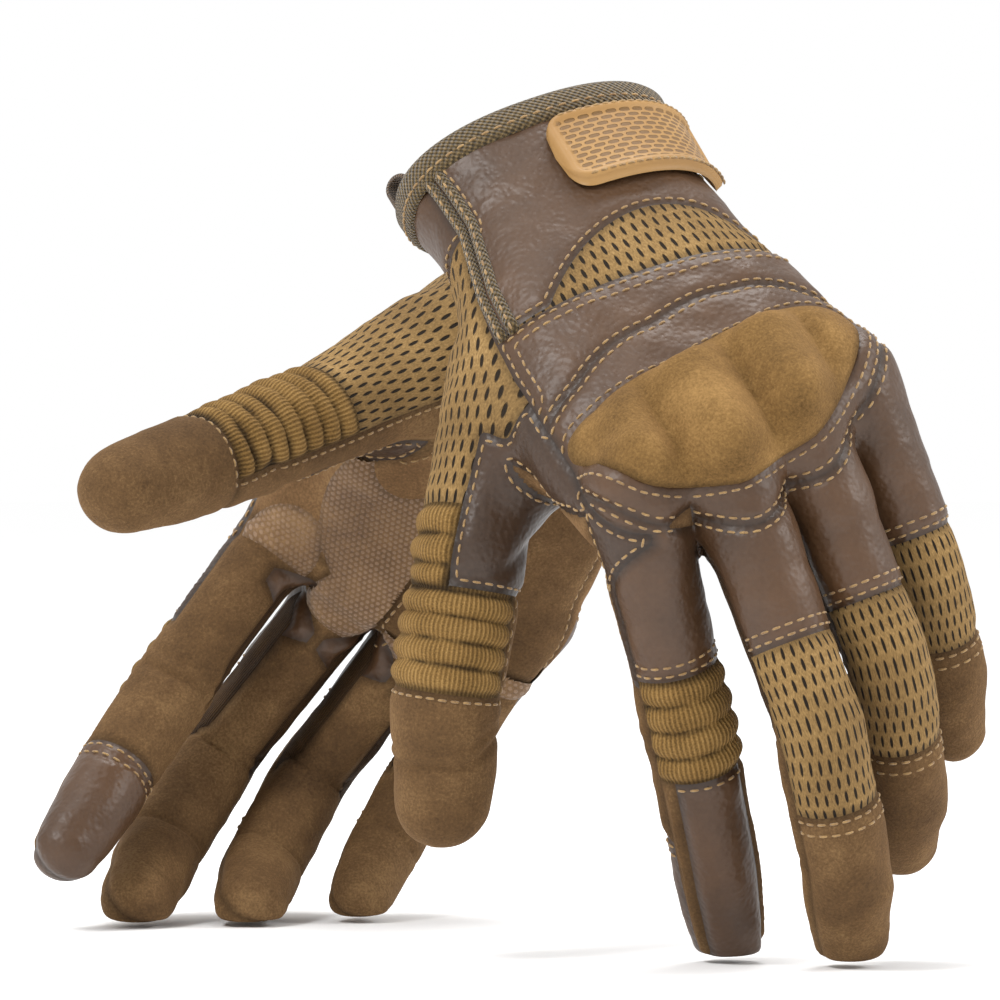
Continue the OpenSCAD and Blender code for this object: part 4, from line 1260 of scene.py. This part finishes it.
def strap(hand):
    side = hand.side
    us, vs = np.linspace(0, 1, 74), np.linspace(-1, 1, 34)
    u, v = np.meshgrid(us, vs)
    theta = TAB_FROM + (TAB_TO - TAB_FROM) * u
    corner = np.clip(1 - u / TAB_CORNER, 0, 1)
    half = TAB_HALF * (1 - corner ** TAB_POWER) ** (1 / TAB_POWER) * (1 - 0.05 * u)
    half = np.maximum(half, 0.05)
    y = TAB_MIDDLE + half * v
    ends = np.minimum(u, 1 - u) * 74 * 0.55
    rim = np.minimum((1 - np.abs(v)) * half, ends)
    edge = np.sqrt(np.clip(rim / 1.4, 0, 1))
    height = 1.7 + 2.2 * edge + 0.7 * smooth(rim / 1.0) * (1 - smooth((rim - 2.4) / 0.8))
    grid = hand_point(theta, y, height)
    low = hand_point(theta, y, np.full_like(u, 1.7))
    p = np.vstack([grid.reshape(-1, 3), low.reshape(-1, 3)])
    top = outward(p, patch(grid))
    n = grid.shape[0] * grid.shape[1]
    cols, rows = grid.shape[1], grid.shape[0]
    faces = top + [tuple(i + n for i in f[::-1]) for f in top]
    border = ([(i, i + 1) for i in range(cols - 1)]
              + [((rows - 1) * cols + i + 1, (rows - 1) * cols + i) for i in range(cols - 1)]
              + [((j + 1) * cols, j * cols) for j in range(rows - 1)]
              + [(j * cols + cols - 1, (j + 1) * cols + cols - 1) for j in range(rows - 1)])
    turned = top[0] != patch(grid)[0]
    faces += [(a, b, b + n, a + n) if turned else (b, a, a + n, b + n) for a, b in border]
    window = smooth((rim - 3.1) / 0.4).ravel()
    uv = np.stack([theta.ravel() * 0.42, y.ravel()], -1)
    obj = emit(hand, "strap_tab", p, faces, "rubber", uv=np.vstack([uv, uv]),
               extra={"window": np.concatenate([window, window * 0])})
    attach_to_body(obj, f"{side}_strap")
    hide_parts(f"{side}_strap_tab")
    spots = []
    loop = [(uu, s * 0.86) for s in (-1, 1) for uu in np.linspace(0.12, 0.97, 20)]
    for uu, vv in loop:
        hw = TAB_HALF * (1 - max(0, 1 - uu / TAB_CORNER) ** TAB_POWER) ** (1 / TAB_POWER)
        at = TAB_FROM + (TAB_TO - TAB_FROM) * uu
        y = TAB_MIDDLE + hw * vv
        q = hand_point([at, at + 1], y, 4.55)
        spots.append((q[0], unit(q[1] - q[0]), unit(hand_point(at, y, 6) - q[0])))
    p, faces = capsules(spots)
    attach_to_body(emit(hand, "strap_stitches", p, faces, "thread"), f"{side}_strap")
    tt, yy = np.meshgrid(np.linspace(100, 150, 30), np.linspace(-15, 1.6, 12))
    low = (np.abs((tt - 125) / 25) > 0.97) | (np.abs((yy + 6.7) / 8.3) > 0.95)
    grid = hand_point(tt, yy, np.where(low, 0.3, 1.5))
    p = grid.reshape(-1, 3)
    hook = emit(hand, "hook_patch", p, outward(p, patch(grid)), "hook",
                uv=np.stack([tt.ravel(), yy.ravel()], -1))
    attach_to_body(hook, f"{side}_hand")
    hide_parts(f"{side}_hook_patch")


def pull_loop(hand):
    side, angle, bore, tape, length, wide = hand.side, 318, 2.2, 1.4, 17, 9
    place = hand_point(angle, CUFF, -1) + np.array([0, -1.4, 0])
    turn = turn_y(90 - angle)
    t = np.radians(np.linspace(0, 360, 73)[:-1])
    rounded = bore + tape
    middle = np.where(np.sin(t) >= -1e-9, -rounded, rounded - length)
    section = [(-wide / 2, bore + 0.3), (-wide / 2, rounded - 0.3), (-wide / 2 + 0.5, rounded),
               (0, rounded + 0.1), (wide / 2 - 0.5, rounded), (wide / 2, rounded - 0.3),
               (wide / 2, bore + 0.3), (0, bore), (-wide / 2, bore + 0.3)]
    grid = np.stack([np.stack([np.full_like(t, x), middle + r * np.sin(t), r * np.cos(t)], -1)
                     for x, r in section])
    p = grid.reshape(-1, 3) @ turn.T + place
    faces = patch(grid, True)
    f = np.array([q[:3] for q in faces])
    n = np.cross(p[f[:, 1]] - p[f[:, 0]], p[f[:, 2]] - p[f[:, 0]])
    volume = (n * p[f].mean(1)).sum()
    if volume < 0:
        faces = [q[::-1] for q in faces]
    run = np.cumsum([0] + [math.dist(a, b) for a, b in zip(section, section[1:])])
    uv = np.stack(np.meshgrid(t * 6, run), -1).reshape(-1, 2)
    obj = emit(hand, "pull_loop", p, faces, "tapedark", uv=uv)
    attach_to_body(obj, f"{side}_loop")
    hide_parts(f"{side}_pull_loop")


FEWEST_FACES = 12
NODE_OF = {("back", 0): ["back_panel"], ("cuff", 0): ["cuff_panel"],
           ("insert", 0): ["mesh_insert"], ("under", 0): ["cuff_underside"],
           ("ulnar", 0): ["ulnar_panel"], ("palm", 0): ["palm_panel"],
           ("web", 0): ["web_patch"], ("ribs", 9): ["thumb_ribs"], ("thumbtip", 10): ["thumb_tip"]}


def glove(g):
    hand = Hand(g)
    side = hand.side
    p, faces = surface(hand)
    t = values(hand, p)
    t, faces, own, label, zone = panels(hand, t, faces)
    base = t[:, :3].copy()
    h, near = relief(hand, t, faces, own, label)
    outer = normals(base, faces)
    if (outer * (base - base.mean(0))).sum() < 0:
        faces = faces[:, ::-1]
        outer = -outer
    done = base + outer * h[:, None]
    smooth_n = normals(done, faces)
    tree = tree_of(done)
    own_v = np.zeros(len(t), np.int64)
    for k in range(3):
        own_v[faces[:, k]] = own
    pieces = {}
    for z in range(11):
        for i, name in enumerate(LABELS):
            pick = (zone == z) & (label == i)
            if pick.sum() < FEWEST_FACES:
                continue
            used, f = compact(faces[pick])
            rows = t[used]
            u, v = panel_uv(name, rows, own_v[used])
            material = MATERIAL_OF.get(name, "leather")
            # dip: how far a rib trough sinks below the surface, read by the rib knit as painted
            # shade.
            dip = np.clip(-(h[used] - 0.1) / 0.8, 0, 1) if name in ("ribs", "frib") else None
            obj = emit(hand, f"{name}_{z}", done[used], f, material, uv=np.stack([u, v], -1),
                       normal=smooth_n[used], seam=near[used], extra={"dip": dip})
            attach(hand, obj, z)
            pieces[(name, z)] = obj
            for node in NODE_OF.get((name, z), []):
                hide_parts(f"{side}_{node}")
    for f, finger in enumerate(FINGERS):
        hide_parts(f"{side}_{finger}_sleeve")
        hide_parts(f"{side}_{finger}_inner")
        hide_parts(f"{side}_{finger}_tip")
    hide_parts(f"{side}_side_mesh", f"{side}_thumb_base")
    stitching(hand, done, faces, label, zone, smooth_n, tree)
    grip(hand, t, done, faces, label, zone, smooth_n)
    lining(hand, base, faces[zone == 0], smooth_n)
    knuckle_guard(hand)
    cuff_trim(hand)
    strap(hand)
    pull_loop(hand)
    return pieces


def panel_uv(name, rows, own):
    """Place on the cloth in millimetres: across it and along it."""
    row = np.arange(len(rows))
    if name in ("side", "ribs", "thumbpalm", "thumbtip"):
        around = np.arctan2(rows[:, TZ], rows[:, TX])
        return around * 13, rows[:, TS]
    if name in ("insert", "cuff", "under", "palm", "ulnar", "web"):
        return np.arctan2(rows[:, ZETA], rows[:, XI]) * 30, rows[:, 1]
    return np.arctan2(rows[row, FZ + own], rows[row, FX + own]) * 10.5, rows[row, FS + own]


def stitching(hand, done, faces, label, zone, n, tree):
    by_zone = {}
    for on, across, offsets in ROWS:
        pairs = [(L[on], L[a]) for a in across]
        seams = seam_vertices(faces, label, pairs)
        if not len(seams):
            continue
        mine = label == L[on]
        used = np.unique(faces[mine])
        d = np.full(len(done), 20.0)
        d[used] = distances(done[used], done[seams], 20.0)
        for z in np.unique(zone[mine]):
            f = faces[mine & (zone == z)]
            for level in offsets:
                for line in chains(done, f, d, level):
                    by_zone.setdefault(int(z), []).extend(stitches_on(line, tree, n))
    for z, spots in sorted(by_zone.items()):
        if spots:
            p, f = capsules(spots)
            attach(hand, emit(hand, f"stitches_{z}", p, f, "thread"), z)


def grip_field(t):
    """Positive inside the printed grip on the palm, in millimetres."""
    x, y = t[:, 0], t[:, 1]
    d = 31 - np.hypot((x + 6) / 1.08, (y - 62))
    for f in range(4):
        k = KNUCKLES[f]
        lobe = 9.8 - np.hypot(x - k[0], (y - k[1] - 1) * 0.7)
        d = np.maximum(d, lobe)
    hole = 11 - np.hypot(x - 14, (y - 44) * 0.72)
    near = np.argmin(t[:, FD:FD + 4], 1)
    reach = t[np.arange(len(t)), FS + near]
    return np.minimum.reduce([d, -hole, 9 - reach, 14 * (-0.25 - t[:, ZETA])])


def grip(hand, t, done, faces, label, zone, n):
    """The printed overlay stands a little proud of the palm."""
    phi = grip_field(t)
    table = np.hstack([t[:, :3] * 0 + done, n, t[:, :2]])
    pick = (label == L["palm"]) | (label == L["fpalm"])
    first = True
    for z in (0, 1, 3, 5, 7):
        chosen = faces[pick & (zone == z) & (done[faces].mean(1)[:, 2] < -2)]
        if not len(chosen):
            continue
        tab, f, _ = cut(np.hstack([table, phi[:, None]]), chosen,
                        np.zeros(len(chosen), np.int64), phi, np.ones(len(chosen), bool))
        f = f[tab[f][:, :, 8].mean(1) > 0]
        if len(f) < 20:
            continue
        used, f = compact(f)
        tab = tab[used]
        lift = 0.75 * (1 - np.exp(-(np.maximum(tab[:, 8], 0) / 0.7) ** 2)) - 0.04
        obj = emit(hand, f"palm_grip_{z}", tab[:, :3] + tab[:, 3:6] * lift[:, None], f, "grip",
                   uv=tab[:, 6:8], normal=tab[:, 3:6], seam=np.maximum(tab[:, 8], 0) + 0.6)
        attach(hand, obj, z)
        if first:
            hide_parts(f"{hand.side}_palm_grip")
            first = False


def lining(hand, base, faces, n):
    pick = base[faces].mean(1)[:, 1] < 62
    used, f = compact(faces[pick])
    obj = emit(hand, "lining", base[used] - n[used] * 2.0, f[:, ::-1], "lining",
               uv=base[used][:, :2], normal=-n[used])
    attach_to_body(obj, f"{hand.side}_hand")


for g in (0, 1):
    glove(g)

# ---------------------------------------------------------------- stage
scene = bpy.context.scene
world = bpy.data.worlds.new("studio")
world.use_nodes = True
world.node_tree.nodes["Background"].inputs[0].default_value = (1, 1, 1, 1)
world.node_tree.nodes["Background"].inputs[1].default_value = 1.0
scene.world = world
scene.view_settings.view_transform = "Standard"

ground = bpy.data.meshes.new("floor")
R = 6.0
ground.from_pydata([(-R, -R, 0), (R, -R, 0), (R, R, 0), (-R, R, 0)], [], [(0, 1, 2, 3)])
floor = bpy.data.objects.new("floor", ground)
scene.collection.objects.link(floor)
white = Shader("floor_white")
white.set(Base_Color=(0.99, 0.99, 0.99, 1), Roughness=0.95, Specular_IOR_Level=0.0)
ground.materials.append(white.mat)


def light(name, place, size, power, aim=(0, 0, 0.11)):
    data = bpy.data.lights.new(name, "AREA")
    data.shape, data.size, data.energy = "DISK", size, power
    obj = bpy.data.objects.new(name, data)
    obj.location = place
    obj.rotation_mode = "QUATERNION"
    obj.rotation_quaternion = (Vector(aim) - Vector(place)).to_track_quat("-Z", "Y")
    scene.collection.objects.link(obj)


light("key", (-0.75, -0.9, 1.25), 0.45, 15)
light("side", (1.2, -0.2, 0.8), 0.5, 6)
light("top", (0.1, 0.35, 1.4), 0.6, 8)

AIM = Vector((0.0005, 0, 0.107))
camera = bpy.data.objects.new("camera", bpy.data.cameras.new("camera"))
scene.collection.objects.link(camera)
camera.data.sensor_width, camera.data.lens = 36, 254
tilt = math.radians(1)
camera.location = AIM + Vector((0, -math.cos(tilt), math.sin(tilt))) * 1.70
camera.rotation_mode = "QUATERNION"
camera.rotation_quaternion = (AIM - camera.location).to_track_quat("-Z", "Y")
scene.camera = camera
